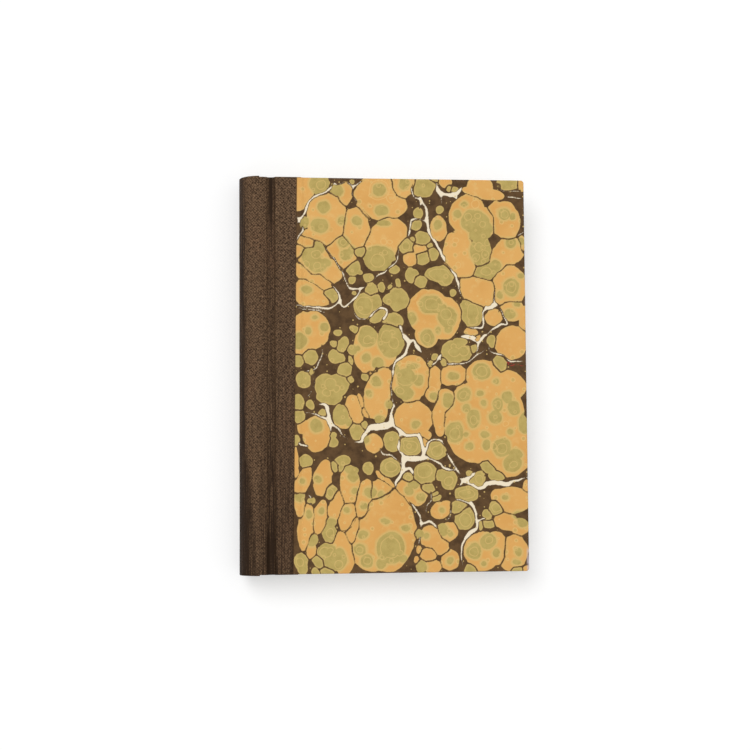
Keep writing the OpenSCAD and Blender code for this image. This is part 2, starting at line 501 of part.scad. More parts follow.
// Olive spots that dropped into the ochre: X, Y, half width, half height
spots = [
    [-32.5, 92, 3.4, 3.3], [-35, 81.5, 4.5, 4], [-22.8, 84.5, 2, 2.2], [-14.3, 84, 2.7, 2.7],
    [-2, 101.5, 3.6, 3.6], [-1, 90, 4, 2.6], [0, 83.3, 4, 1.6], [11.5, 105, 3, 3],
    [-37, 66, 4.2, 3.2], [-42.5, 64, 2.6, 3.2], [-37.5, 58.6, 4.3, 2.8], [-22.2, 72.5, 3, 2.7],
    [-21, 65.5, 3, 2.5], [-42.5, 46, 3, 2], [-32.5, 25.5, 2, 2.5], [-9, 23, 4.5, 2.6],
    [-10, 9, 3, 3.4], [-2.5, 7.5, 2.6, 2.8], [25.5, 37.5, 4.5, 4.6], [33, 41, 3.6, 1.8],
    [23.6, 19.5, 3.6, 4.2], [34.5, 31.5, 4.6, 4.6], [51, 85, 7.4, 6.2], [41.2, 89, 2.7, 2.3],
    [67.5, 89, 3.2, 3.2], [71, 48, 4.2, 4.8], [70, 33, 3, 2.8], [12.5, -3.5, 4, 4.5],
    [19.3, -3.5, 2.4, 3], [15, 4, 3.5, 1.5], [11, -10.8, 4.6, 2.6], [27, -12.3, 2.2, 2.2],
    [-4, -3.5, 2.8, 2.8], [16.7, -27.5, 2.4, 2.4], [35, -16, 2.8, 3.6], [54, 1.3, 4.7, 4.5],
    [61.7, -4, 1.6, 1.6], [43.8, -12.5, 3.4, 3.4], [53, -11, 1.9, 1.7], [68, -12.8, 3.3, 3.2],
    [62.5, -17, 3, 3.4], [71.5, -18.5, 3, 4.2], [77, -29.5, 2.8, 4], [49, -24.5, 3.7, 5.3],
    [61, -23.5, 3.7, 3.6], [38.5, -32.5, 4.6, 5], [46.3, -39.5, 2.3, 2], [55, -33.3, 2.5, 2],
    [56, -39, 2, 2.6], [64.5, -40.5, 5.2, 5], [70.5, -49.5, 5.4, 4.4], [-36.8, -27.5, 3, 3.4],
    [-17.5, -56, 2, 2.3], [-16.8, -63.5, 1.8, 1.8], [-41.5, -75.5, 1.8, 2.4], [-25.2, -100, 3.8, 5.5],
    [0, -80, 2.5, 1.5], [2.5, -94.5, 7.6, 8.6], [11, -84, 2.5, 2], [-2.5, -103.2, 2.6, 2.3],
    [-10.5, -101.5, 3.4, 3.6], [-14, -95, 3.2, 3.2], [31, -74, 1.6, 1.5], [56, -91.5, 4.4, 4.2],
    [48.3, -96.5, 4, 3.9], [61, -98, 2.2, 2.1], [73, -97.5, 2, 2.2], [75, -80.6, 3, 2.2]];

// Cream veins in the brown: width, then the points along each
veins = [
    [1, [-26.5, 104.5], [-30, 101], [-38, 97.5], [-41.5, 92], [-43.5, 87.5], [-47.5, 82]],
    [1, [-33, 70.5], [-29, 65.5], [-26, 61], [-22, 55], [-21, 50.5], [-18.8, 47.3], [-12.5, 47], [-9, 49]],
    [0.9, [-6, 50.5], [-4, 53.5], [0, 55.5], [3, 58.5], [6.5, 61], [8, 65], [8.5, 69]],
    [0.9, [-12.5, 47], [-14.5, 43], [-17.5, 40.5], [-22, 36.5], [-24, 40.5], [-25, 45], [-28.5, 49]],
    [1, [-24, 40.5], [-27, 37.5], [-31, 35.5], [-37, 36], [-41, 37], [-48, 37.5]],
    [1.2, [9, 25], [11, 21.5], [13, 20], [13, 15], [12.5, 12], [10.5, 10], [6, 6], [4.5, 1]],
    [1.6, [13.5, 21], [16, 18.5], [18, 15], [20.5, 11.5]],
    [1.4, [16.5, 108], [16.5, 100], [19, 96.5], [22, 95.5], [24.5, 90], [24.5, 82], [27, 76],
     [31, 69.5], [33.5, 63.5], [38, 58], [40.5, 53], [42, 46], [44, 42]],
    [2, [29.5, 106], [30.5, 102], [33, 99.8], [38, 99.5], [41.5, 101], [43, 103.5]],
    [1, [22.5, 84.5], [18, 85.8], [15.5, 84.5], [14.5, 78], [13.5, 76]],
    [0.9, [68.5, 99], [72, 98.3], [79, 98]],
    [1, [57.5, 16], [58.5, 12.5], [61, 11], [66, 10.3], [70, 7], [74, 6.5], [79, 7.5]],
    [1.6, [57, 22], [55, 20], [54, 17.5], [50, 17], [47, 15.5], [45, 20], [42, 20.5]],
    [1.1, [61.5, 47], [61, 41], [61.5, 36], [56.5, 34.5], [55.8, 31], [55.5, 27.5], [53.5, 25], [47, 25]],
    [1.1, [62, 36], [64.5, 37], [66.5, 32], [68.5, 28], [65, 27], [60, 24.5], [56, 22]],
    [0.8, [54, 13], [50, 9.8], [45, 6.3]],
    [0.9, [-34.5, 15.5], [-33.5, 12], [-35, 8], [-37.5, 3.5], [-42, 1.5], [-43.5, 0.8]],
    [1.8, [-36, -16.5], [-32, -17.3], [-31, -21], [-30, -25.5], [-29.5, -31]],
    [1, [-44, -21.5], [-39, -21.5], [-34.5, -23.5], [-30.5, -26], [-25, -30.5], [-23, -33], [-20, -35.2]],
    [2.4, [-16.5, -37], [-12.5, -37], [-11, -33.5], [-8.5, -30], [-5, -29], [0, -29], [4, -26],
     [3.5, -21.5], [5.5, -18]],
    [2, [4, -26], [7, -30], [12, -32.8], [19, -33.5], [20.5, -40], [21, -45]],
    [1.8, [9.5, -31], [7.5, -35], [7.8, -40], [9.5, -44], [10, -50], [9, -55], [6, -58.5], [5, -62]],
    [1.8, [9.5, -46.5], [13, -46.5], [20, -46], [23, -45], [26, -47], [30, -49.5], [32, -51.3], [38, -52.5]],
    [0.8, [-3, -41], [-1, -43.5], [4, -44.8], [8, -49]],
    [2.2, [35.5, -48], [41, -52.5], [44, -56.5], [47, -60.5], [52, -62.5], [56, -60.5], [62, -60],
     [67, -60.5], [71, -58.8], [79, -57]],
    [1.2, [13.5, -69.5], [17, -74], [19, -78], [19.5, -84]],
    [1.1, [19.5, -84], [24, -81], [26.5, -82], [28, -84]],
    [1.6, [37, -68.5], [43, -69.5], [47, -71], [49.5, -75], [50, -80], [50, -84], [46, -87],
     [43, -91], [41.5, -96], [41.8, -106]]];

// An oval's reach from its centre towards a direction
function reach(o, dir) = let (c = cos(o[5]), s = sin(o[5]),
    u = c * dir.x + s * dir.y, v = c * dir.y - s * dir.x) 1 / norm([u / o[3], v / o[4]]);
function spread_out(p) = let (y = p.y * half_h / drawn_half_h,
    edge = (drawn_head_x + drawn_tail_x + (drawn_head_x - drawn_tail_x) * p.y / drawn_half_h) / 2)
    [paper_x(y) + (p.x - edge) * (board_x1 - paper_x(y)) / (drawn_fore_x - edge), y];
function place(o) = spread_out([o[1], o[2]]);
function sides_of(o) = let (r = max(o[3], o[4])) oval_sides[r > large_oval ? 0 : r > middling_oval ? 1 : 2];

// Where an oval stops: at its own reach, or before the line where it meets another drop
function met(o, others) = [for (other = others) let (way = place(other[0]) - place(o), far = norm(way),
    dir = way / far, own = reach(o, dir), theirs = reach(other[0], dir))
    if (far < own + theirs + other[1]) [dir, far * own / (own + theirs) - other[1] / 2]];
function stop(o, dir, lines) = min(concat([reach(o, dir)],
    [for (line = lines) if (line[0] * dir > facing) line[1] / (line[0] * dir)]));
function outline(o, others) = let (lines = met(o, others), n = sides_of(o))
    [for (i = [0:n - 1]) let (dir = [cos(360 * i / n), sin(360 * i / n)])
        place(o) + stop(o, dir, lines) * dir];
function others_of(i, o) = [for (j = [0:len(drops) - 1]) for (other = drops[j])
    if (j != i || other[0] != o[0]) [other, j == i ? 0 : vein_gap]];

// The drops of one colour, from a smallest size up, and the spots that lie on the ochre
module drops_of(shade, smallest) {
    for (i = [0:len(drops) - 1])
        for (o = drops[i])
            if (o[0] == shade && max(o[3], o[4]) > smallest)
                polygon(outline(o, others_of(i, o)));
}
module spots_over(smallest) {
    for (s = spots)
        if (max(s[2], s[3]) > smallest)
            polygon(outline([olive, s[0], s[1], s[2], s[3], 0], []));
}
// A vein's two sides, stepped out from the points along it
function side(points, w) = [for (i = [0:len(points) - 1]) let (last = len(points) - 1,
    way = points[min(i + 1, last)] - points[max(i - 1, 0)])
    points[i] + w / 2 * [-way.y, way.x] / norm(way)];
module veins_between() {
    difference() {
        for (v = veins)
            let (points = [for (p = rest(v)) spread_out(p)])
                polygon(concat(side(points, v[0]),
                    backward(side(points, -v[0]))));
        drops_of(ochre, 0);
        drops_of(olive, 0);
    }
}

// Ink on the plain face of the paper, and where the paper laps over the cloth
module inked(level) {
    slab(board_out + paper_t + level * ink_t, board_out + paper_t + (level + 1) * ink_t) intersection() {
        polygon(strip(lap_w + paper_t, true, board_x1, false, half_h));
        children();
    }
}
module inked_lap() {
    slab(lap_out, lap_out + ink_t) intersection() {
        polygon(strip(0, true, lap_w + paper_t, true, half_h));
        children();
    }
}
module front_ochre_drops() {
    color(ochre_color) at_middle() {
        inked(0) drops_of(ochre, front_smallest);
        inked_lap() drops_of(ochre, front_smallest);
    }
}
module front_olive_drops() {
    color(olive_color) at_middle() {
        inked(0) drops_of(olive, front_smallest);
        inked(1) spots_over(2 * front_smallest);
        inked_lap() drops_of(olive, front_smallest);
    }
}
module front_cream_veins() color(cream_color) at_middle() inked(0) veins_between();
module back_ochre_drops() color(ochre_color) at_middle() over_back() inked(0) drops_of(ochre, back_smallest);
module back_olive_drops() color(olive_color) at_middle() over_back() inked(0) drops_of(olive, back_smallest);

text_block();
front_flyleaf();
back_flyleaf();
mull();
spine_liner();
head_band();
tail_band();
spine_card();
spine_cloth();
front_board();
front_cloth_side();
front_side_paper();
front_pastedown();
front_ochre_drops();
front_olive_drops();
front_cream_veins();
back_board();
back_cloth_side();
back_side_paper();
back_pastedown();
back_ochre_drops();
back_olive_drops();
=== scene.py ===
import math

import bmesh
import bpy
import numpy as np
from mathutils import Matrix, Vector, noise


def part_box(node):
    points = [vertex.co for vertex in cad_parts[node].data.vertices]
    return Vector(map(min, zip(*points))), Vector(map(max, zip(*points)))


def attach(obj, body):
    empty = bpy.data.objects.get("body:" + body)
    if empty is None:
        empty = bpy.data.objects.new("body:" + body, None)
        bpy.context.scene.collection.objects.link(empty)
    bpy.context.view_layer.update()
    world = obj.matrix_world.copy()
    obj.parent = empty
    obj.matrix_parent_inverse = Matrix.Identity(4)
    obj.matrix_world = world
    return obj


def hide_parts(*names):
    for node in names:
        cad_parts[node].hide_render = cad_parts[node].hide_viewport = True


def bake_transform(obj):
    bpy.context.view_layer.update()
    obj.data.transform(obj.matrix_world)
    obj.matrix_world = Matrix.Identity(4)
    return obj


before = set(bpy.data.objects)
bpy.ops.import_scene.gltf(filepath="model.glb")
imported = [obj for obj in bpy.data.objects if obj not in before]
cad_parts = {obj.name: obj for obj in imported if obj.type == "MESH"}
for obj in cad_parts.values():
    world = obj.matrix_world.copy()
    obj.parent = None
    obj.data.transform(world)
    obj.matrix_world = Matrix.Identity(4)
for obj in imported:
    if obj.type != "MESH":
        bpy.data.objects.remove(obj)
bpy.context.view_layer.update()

bl_info = {
    "name": "Marbled notebook",
    "version": (1, 0, 0),
    "blender": (4, 5, 0),
    "location": "View3D > Sidebar > Notebook",
    "description": "Covering, pages and stage of a quarter-bound notebook with marbled sides",
    "category": "Add Mesh",
}

# Everything is worked out in millimetres and scaled to metres when a mesh is finished
MM = 0.001
WHITE = (1.0, 1.0, 1.0, 1.0)


def mm_box(node):
    """Lowest and highest corner of a CAD node, in millimetres."""
    low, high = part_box(node)
    return Vector(low) / MM, Vector(high) / MM


BOARD_LOW, BOARD_HIGH = mm_box("front_board")
PAPER_HIGH = mm_box("front_side_paper")[1]
CLOTH_HIGH = mm_box("front_cloth_side")[1]
SPINE_LOW, SPINE_HIGH = mm_box("spine_cloth")
MIDDLE_Z = (SPINE_LOW.z + SPINE_HIGH.z) / 2
HALF_H = BOARD_HIGH.y
SPINE_R = (SPINE_HIGH.z - SPINE_LOW.z) / 2
SPINE_X = SPINE_LOW.x + SPINE_R

# Where the cloth's outer face stands beside a board's spine edge
CLOTH_T = 0.4
CLOTH_START = BOARD_LOW.x - CLOTH_T

# The spine's card ends at this angle from the fore-edge's direction, and the cloth turns round its end
END_ANGLE = 75
CARD_R = 10.7
WRAP_R = 0.8
CARD_END = (SPINE_X + CARD_R * math.cos(math.radians(END_ANGLE)),
            MIDDLE_Z + CARD_R * math.sin(math.radians(END_ANGLE)))
END_OVERLAP = 2
SHOULDER_ANGLE = 14

# Marbling: how wide its outlines wander, how drops swell to meet and how a vein pushes them back
SWIRL_WIDE = 7.0
SWIRL_FINE = 3.1
SWIRL_APART = Vector((9, 0, 0))
SWELL_STARTS = 2.7
SWELL_FULL = 0.6
NO_OLIVE = 9.0
FAR_AWAY = 1e3
VEIN_MARGIN = 0.3
OCHRE_PUSH = 0.9
OLIVE_PUSH = 0.6
VEIN_POOL = 2.2
LINE_POOL = 0.1
VEIN_WANDER = 4
TAPER_RATE = 4.5
TAPER_LEAST = 0.12
TAPER_POWER = 0.7

# The rubbed corner at the tail: where it starts from the fore-edge and in Y, and how fast it sets in
WORN_X = BOARD_HIGH.x - 1.3
WORN_X_RUN = 0.8
WORN_Y = -94
WORN_Y_RUN = 3

# The floor lies just below the lower cover, so that a cover laid open doesn't share its plane
FLOOR_DROP = 0.3
FLOOR_HALF = 2500
FLOOR_GREY = 0.62
FLOOR_GLOW = 0.4

# Light: strength of the surroundings below and overhead, and the lamp
SKY_LOW = 0.16
SKY_HIGH = 0.86
LAMP_STRENGTH = 1.35
LAMP_ANGLE = 34
LAMP_FROM = Vector((-0.42, 0.46, 1.0))

# Camera: place in metres, lens in millimetres and its turns in degrees
CAMERA_PLACE = (-0.0871, -0.0565, 0.8128)
CAMERA_LENS = 70
CAMERA_TURNS = (4.031, -5.927, -0.427)

# Drops of colour, as they spread on the bath: each drop is one or more ovals that ran
# together, and each oval is colour, X, Y, half width, half height and lean in degrees
OCHRE = 0
OLIVE = 1
DROPS = [
    [[OCHRE, -44.7, 99.5, 6.3, 10.8, -15], [OLIVE, -34.8, 104.2, 5.6, 5.6, 0]],
    [[OCHRE, -31.2, 85, 11.2, 14, 0], [OLIVE, -43.6, 82.8, 2.8, 3, 0], [OCHRE, -41, 76.5, 4, 2.5, -20]],
    [[OLIVE, -25.6, 101, 3.6, 4, 0], [OCHRE, -21, 99.5, 4.2, 6.6, 0]],
    [[OCHRE, -15.3, 79.8, 7.9, 11.8, 0]],
    [[OCHRE, -3.5, 98, 11.8, 12.5, 0], [OCHRE, 5.5, 93, 8, 6.3, 0]],
    [[OLIVE, -17, 105.8, 1.2, 1.6, 0]],
    [[OCHRE, -42.8, 72.3, 4.8, 3.3, -15]],
    [[OCHRE, -38, 62.3, 8.5, 7.5, -10], [OCHRE, -28.3, 56.3, 6, 6.8, 20], [OLIVE, -35.7, 69.5, 3.5, 4.2, 0]],
    [[OCHRE, -45.8, 67, 3, 3.5, 0]],
    [[OCHRE, -23.3, 69, 7.2, 7.4, 0], [OCHRE, -21.5, 63, 6.3, 5.2, 0]],
    [[OLIVE, -16.6, 58.2, 4.1, 4, 0], [OLIVE, -13.2, 55.8, 1.5, 1.5, 0]],
    [[OLIVE, -17.4, 51.2, 2.3, 2.1, 0]],
    [[OLIVE, -16.5, 44.7, 1.2, 1.2, 0]],
    [[OLIVE, -12.8, 67.5, 3.3, 2.9, 0]],
    [[OCHRE, 3.5, 78, 9.8, 8, 15], [OCHRE, -1.5, 70, 9, 9.5, 0], [OLIVE, -2.5, 63.5, 8.8, 7.2, 0]],
    [[OLIVE, -8.3, 53, 2.9, 2.3, 0]],
    [[OLIVE, -7, 46.2, 3.4, 3.8, 0]],
    [[OLIVE, -11, 37, 5.9, 7, 0], [OLIVE, -5.5, 38.5, 4, 5.6, 0]],
    [[OLIVE, -3, 31.8, 4.8, 3.3, 30]],
    [[OLIVE, 8, 40.8, 5.4, 6.2, 0], [OLIVE, 3.6, 41.2, 3.8, 3.4, 20], [OLIVE, 6, 45.5, 2, 2, 0]],
    [[OLIVE, 5.5, 29, 5.3, 4.4, -20], [OLIVE, 1.3, 29.2, 2, 2, 0]],
    [[OCHRE, -9.5, 13.5, 7.5, 13.2, 0], [OLIVE, 3.8, 18.5, 7.3, 9.4, 0], [OLIVE, -17.5, 13, 2.5, 2.5, 0],
     [OCHRE, -1, 11, 8, 7.5, 30]],
    [[OLIVE, -1, 47.8, 1.7, 2.8, 0]],
    [[OLIVE, 8.2, 50.3, 1.1, 2.4, 10]],
    [[OLIVE, 3.8, 48, 1.2, 1.2, 0]],
    [[OLIVE, 6.2, 57.5, 3.2, 2.2, 0]],
    [[OLIVE, 4.8, 61, 1.4, 1.4, 0]],
    [[OCHRE, 14.8, 63.5, 4, 4, 0], [OCHRE, 19.8, 69, 3.8, 2.6, -10]],
    [[OLIVE, 13, 70.3, 4.4, 4.2, 0]],
    [[OLIVE, 21.5, 75.2, 4.3, 3.6, 0]],
    [[OLIVE, 16.8, 74.5, 1.8, 1.6, 0]],
    [[OLIVE, 25.5, 71, 1.6, 1.2, 20]],
    [[OLIVE, 18.2, 82.2, 3.2, 2.4, 20]],
    [[OLIVE, 19.3, 89, 2.8, 3.5, 0]],
    [[OLIVE, 22.3, 103.3, 5.8, 5.9, 0], [OLIVE, 26, 104.5, 3, 3.8, 0]],
    [[OCHRE, 11, 105, 7, 7.5, 0]],
    [[OLIVE, 31.5, 91, 2.2, 2.1, 0]],
    [[OCHRE, 30.5, 80.5, 4.8, 6.9, 0]],
    [[OLIVE, 21.8, 64, 3.6, 3.9, 0]],
    [[OLIVE, 27.6, 65.8, 3.2, 3.4, 0]],
    [[OLIVE, 14.8, 54, 3, 4.2, 0], [OLIVE, 17, 55.5, 2.5, 2, 0]],
    [[OLIVE, 20.3, 50.6, 3.6, 3, 0]],
    [[OLIVE, 31.5, 55, 8.3, 4.6, 5], [OLIVE, 33.5, 53.5, 5, 5, 0]],
    [[OCHRE, 25, 34, 12, 12.8, 0], [OCHRE, 33, 31, 9.3, 12, 0], [OCHRE, 23.5, 21.5, 6.5, 7, 0]],
    [[OLIVE, 38.3, 45.2, 1.9, 2, 0]],
    [[OCHRE, 47, 88, 10.8, 11, 0], [OCHRE, 53.5, 83.5, 9.3, 10, 0], [OCHRE, 41.5, 67.5, 8.3, 13.5, -5],
     [OCHRE, 45, 60.5, 5.5, 7, 0], [OLIVE, 54.3, 68.5, 5.8, 8.5, 0]],
    [[OCHRE, 68.3, 85.5, 8.2, 10.8, 10], [OCHRE, 63.5, 91, 4.5, 5, 0]],
    [[OCHRE, 54, 104.5, 7.3, 6, 0], [OCHRE, 56, 100.8, 12, 3.4, -8]],
    [[OLIVE, 70, 107, 6.2, 4.7, 0]],
    [[OCHRE, 78, 106, 2.6, 4.2, 0]],
    [[OLIVE, 36.7, 103.2, 1.5, 2, 0]],
    [[OLIVE, 40, 102.3, 1.9, 1.6, 0]],
    [[OCHRE, 34.8, 107, 3.7, 4, 0]],
    [[OLIVE, 27.8, 108, 2.4, 2, 0]],
    [[OLIVE, 65, 105, 1.2, 1.2, 0]],
    [[OCHRE, 70, 68, 9, 7.2, 20], [OLIVE, 57.5, 56.8, 7, 4.8, 15], [OCHRE, 64, 62, 5, 6, 0]],
    [[OCHRE, 77.6, 72, 2.2, 5, 0]],
    [[OCHRE, 52, 46, 9.6, 8, -10], [OCHRE, 57.5, 41.5, 3.8, 5, 0], [OCHRE, 46, 50, 4, 4, 0]],
    [[OLIVE, 49, 32.8, 5.7, 7.3, 0], [OLIVE, 46.5, 37.5, 4.2, 4, 0]],
    [[OCHRE, 61, 31, 4.7, 4.8, 0]],
    [[OCHRE, 70.5, 49.5, 9.5, 10.5, 0], [OCHRE, 65, 43, 3.5, 4.5, 0]],
    [[OCHRE, 71.5, 35.3, 6.5, 6.3, 0], [OCHRE, 78, 31, 3.2, 7, 0]],
    [[OCHRE, 70.5, 17, 9.2, 9.6, 0]],
    [[OLIVE, 59.3, 18, 2.2, 3.7, 0]],
    [[OCHRE, 51.9, 19.4, 2.1, 2.2, 0]],
    [[OCHRE, 48.3, 22.7, 3.8, 2.3, -10]],
    [[OLIVE, 38.5, 12, 7, 6.3, 0], [OLIVE, 42, 17.5, 4, 2.3, 0], [OLIVE, 44.5, 11.5, 3.5, 4, 0]],
    [[OLIVE, 49.5, 13.8, 2.1, 1.9, 0]],
    [[OLIVE, 64.2, 5.6, 3.8, 4.3, 0]],
    [[OLIVE, 27.7, 9.8, 1.8, 1.8, 0]],
    [[OLIVE, 25.5, 5.8, 1.5, 1.3, 0]],
    [[OLIVE, 33, 6.5, 2, 2.2, 0]],
    [[OCHRE, 27.8, -3, 3.3, 7.5, 0], [OCHRE, 26.3, -11.5, 3.6, 4.2, 0]],
    [[OCHRE, 14.3, -2.5, 10.3, 13.2, -8]],
    [[OCHRE, -4, -12, 7.2, 13, -8], [OCHRE, 0, -2, 4, 5.6, 0], [OLIVE, 2.8, -17, 2.8, 2.5, 0],
     [OLIVE, -2.5, -25, 2.8, 2.5, 0], [OCHRE, -3, -21, 4.3, 5, 10]],
    [[OCHRE, -8.2, 0.9, 1.3, 1.2, 0]],
    [[OCHRE, 15.8, -24.3, 10.3, 9.2, 0], [OCHRE, 23, -33, 2.8, 2.5, 0]],
    [[OCHRE, 38, -0.5, 7.2, 5.7, 10]],
    [[OCHRE, 33.5, -14.5, 5, 6.7, 0], [OCHRE, 30, -25.5, 3.3, 9, 5]],
    [[OCHRE, 54.5, -1.5, 9.5, 9.2, 0], [OCHRE, 68, -7, 10.5, 8.5, 0], [OCHRE, 57, -20, 20, 18, 0],
     [OCHRE, 50, -34, 15.5, 14.5, 0], [OCHRE, 69, -38, 14, 18.5, 0], [OCHRE, 40, -27, 7.5, 11, 0],
     [OCHRE, 43, -11, 4.5, 5, 0]],
    [[OCHRE, -40.5, 24, 11, 10.5, -15], [OCHRE, -46, 15.5, 4.5, 5, 0]],
    [[OCHRE, -41.5, 44.5, 8.5, 8, -20], [OCHRE, -35.5, 40.3, 6.3, 4, 0]],
    [[OCHRE, -44.5, 56, 5.5, 3.8, -40], [OCHRE, -36, 50.5, 8, 4, -15]],
    [[OLIVE, -29.2, 43, 4.1, 4, 0]],
    [[OLIVE, -40, 9, 3.7, 4, 0]],
    [[OLIVE, -46.8, 6.8, 2.8, 3.5, 0]],
    [[OLIVE, -39.8, 1.5, 1.5, 1.5, 0]],
    [[OLIVE, -44.3, -3.2, 3.9, 4.6, 0]],
    [[OLIVE, -31.5, -7, 6.5, 7, 0], [OLIVE, -26, -6.5, 6.2, 6.5, 0], [OLIVE, -30, -12.5, 7.2, 4.3, 0],
     [OLIVE, -33.5, -4, 4.3, 4, 0]],
    [[OLIVE, -47, -15.5, 3, 4.2, 10]],
    [[OLIVE, -40.4, -16.7, 1.9, 2.9, 15]],
    [[OLIVE, -46.8, -23, 3.2, 3.8, 0]],
    [[OLIVE, -34, -21.5, 2, 2.2, 0]],
    [[OLIVE, -24, -22.5, 4.3, 5.5, 0], [OCHRE, -23, -26, 4.5, 4, 0], [OLIVE, -19.5, -26.5, 1.5, 2, 0]],
    [[OCHRE, -17, -18, 3.7, 6.5, 12], [OCHRE, -15, -24, 2.9, 3.6, 10]],
    [[OCHRE, -13.2, -15.2, 1.1, 4.2, 18]],
    [[OCHRE, -10.5, -21.5, 1.1, 3.2, 30]],
    [[OLIVE, -15.2, -31.5, 3.9, 4.6, 0]],
    [[OLIVE, -11.3, -28, 2, 2, 0]],
    [[OCHRE, -37, -32.5, 7.5, 9.8, -5], [OCHRE, -43, -29.5, 4.7, 3.8, 0]],
    [[OLIVE, -28.2, -37.4, 2.7, 2.7, 0], [OLIVE, -28.3, -33.5, 2.3, 1.7, 0]],
    [[OLIVE, -43, -46.8, 3.3, 3.4, 0]],
    [[OLIVE, -48.3, -36.3, 2.2, 2.9, 0]],
    [[OCHRE, -48.6, -48.5, 1.5, 8.5, 0]],
    [[OCHRE, -44.5, -57.8, 3.8, 8, -20]],
    [[OCHRE, -33.7, -55.5, 4.8, 8.8, -10], [OCHRE, -34.5, -61.5, 4.8, 5, 0]],
    [[OLIVE, -29.8, -64.3, 3.6, 4.2, 0]],
    [[OLIVE, -22.7, -47, 4, 2.9, 0], [OLIVE, -24.3, -51.3, 1.8, 1.8, 0]],
    [[OLIVE, -27.7, -50.5, 1.9, 2.6, 0]],
    [[OCHRE, -19.5, -59, 5.3, 8, 0], [OCHRE, -20, -65.5, 3.9, 5, 0], [OLIVE, -18.5, -52.2, 3.6, 2, 0]],
    [[OLIVE, -9.3, -51.5, 3.1, 3.8, 0]],
    [[OCHRE, -6.3, -38, 4.5, 5.4, 0], [OLIVE, -10, -35.5, 1.9, 2.6, 0]],
    [[OLIVE, 4, -37, 4.6, 5.8, 0]],
    [[OLIVE, 14, -39.5, 6.3, 5.8, 0]],
    [[OCHRE, 21.9, -37.5, 1.5, 3.8, 0]],
    [[OLIVE, 28, -42, 5.4, 5, 0]],
    [[OLIVE, 3, -50.8, 5.8, 5.2, 0]],
    [[OCHRE, -2.3, -55.8, 1.3, 3.6, 38], [OCHRE, 2.3, -59.2, 1.2, 3.2, 50]],
    [[OLIVE, 21.7, -54, 6.3, 5.9, 0]],
    [[OLIVE, 12.5, -56.5, 2.3, 2.3, 0]],
    [[OCHRE, 10.5, -62.5, 4.7, 4.5, 0], [OCHRE, 16.5, -65.8, 6.5, 5.8, -10], [OLIVE, 15.5, -60.5, 3.3, 2, 0]],
    [[OLIVE, 23, -62.6, 4.2, 2.8, 0]],
    [[OLIVE, 26.8, -65.3, 2.3, 1.1, 25]],
    [[OLIVE, 28, -67.8, 3, 1.3, 25]],
    [[OLIVE, 31.5, -55.3, 4.3, 3.2, 0], [OLIVE, 35, -58, 4.3, 5.8, 0]],
    [[OCHRE, -46, -71.5, 2.9, 8, 8], [OLIVE, -46.3, -66, 2.6, 3, 0]],
    [[OCHRE, -43.2, -82.5, 4.5, 12.5, -8]],
    [[OCHRE, -35.7, -77.3, 3.7, 8.8, -10]],
    [[OLIVE, -39.7, -89.5, 3, 3.2, 0], [OCHRE, -40.4, -94, 2.2, 5.4, 0]],
    [[OLIVE, -40, -68.3, 1.9, 1.8, 0]],
    [[OCHRE, -27, -71.5, 3.6, 8, -8], [OLIVE, -30.5, -85.8, 3.9, 5, 0], [OLIVE, -29.5, -80.5, 2.8, 2.5, 0]],
    [[OCHRE, -20.6, -78, 4.4, 7.5, -8]],
    [[OCHRE, -17.8, -84.8, 3.3, 7.2, -14]],
    [[OCHRE, -23.5, -97.5, 5.8, 12, 8], [OLIVE, -32, -96, 5, 4.2, 0], [OLIVE, -28.5, -101.5, 5, 4.5, -30]],
    [[OCHRE, -10.3, -65, 4, 7.5, 0], [OCHRE, -12, -72.5, 4.2, 7.3, 8]],
    [[OCHRE, -3, -65, 7, 7, -25]],
    [[OCHRE, 1, -85, 15.5, 22.5, 0], [OCHRE, -8, -94, 10, 13.5, 0]],
    [[OLIVE, 18, -87, 2.8, 2, 0], [OCHRE, 24.5, -88.3, 5.6, 5.8, -25], [OCHRE, 30, -94, 4.3, 4.5, 0]],
    [[OCHRE, 23, -98.3, 4.4, 3.3, -15]],
    [[OCHRE, 18.3, -95.3, 1.1, 2.4, 0]],
    [[OCHRE, 16.7, -101.2, 1.1, 2, 0]],
    [[OLIVE, 19.5, -105, 3, 3.4, 0], [OCHRE, 25.5, -105, 4.5, 4, 0]],
    [[OCHRE, 29.8, -74.8, 5.7, 4.5, 15], [OCHRE, 33, -72.5, 3, 3.6, 0]],
    [[OCHRE, 35, -86, 4.6, 5, 0], [OLIVE, 31.3, -85, 3, 3.3, 0]],
    [[OCHRE, 35.3, -101.3, 4.9, 5.6, 0]],
    [[OLIVE, 44.5, -66, 6.5, 4.5, 0]],
    [[OLIVE, 43.5, -79, 5.5, 6.4, 0]],
    [[OLIVE, 40.5, -73, 4.5, 3.8, -10]],
    [[OLIVE, 51.5, -57.8, 4, 4.2, 0], [OLIVE, 47.5, -58.5, 1.8, 2, 0]],
    [[OLIVE, 46.2, -54.8, 1.8, 2, 0]],
    [[OLIVE, 57, -51.5, 4.8, 2.9, -30], [OLIVE, 61.5, -56, 4.3, 3.5, -20]],
    [[OCHRE, 70, -69, 9.5, 7.3, -8], [OCHRE, 62, -66.5, 4, 3.2, 20]],
    [[OLIVE, 61.2, -73.3, 3.9, 4, 0]],
    [[OCHRE, 67, -81.5, 7.5, 4.6, -15], [OCHRE, 74, -83.5, 5.5, 4.6, -10]],
    [[OLIVE, 55.7, -77.3, 2.1, 3.2, 15]],
    [[OLIVE, 56.9, -82.3, 3, 2.3, 0]],
    [[OLIVE, 52.3, -83, 0.9, 2.5, 0]],
    [[OCHRE, 53, -97, 10.2, 10.7, 0], [OCHRE, 60, -95.5, 7.3, 9, 0]],
    [[OCHRE, 71.3, -97, 7.2, 8.6, 0], [OCHRE, 67, -103, 3.5, 4.5, 0]],
    [[OLIVE, 72, -108, 3, 2.2, 0]],
    [[OCHRE, 78, -108, 2.7, 3, 0]],
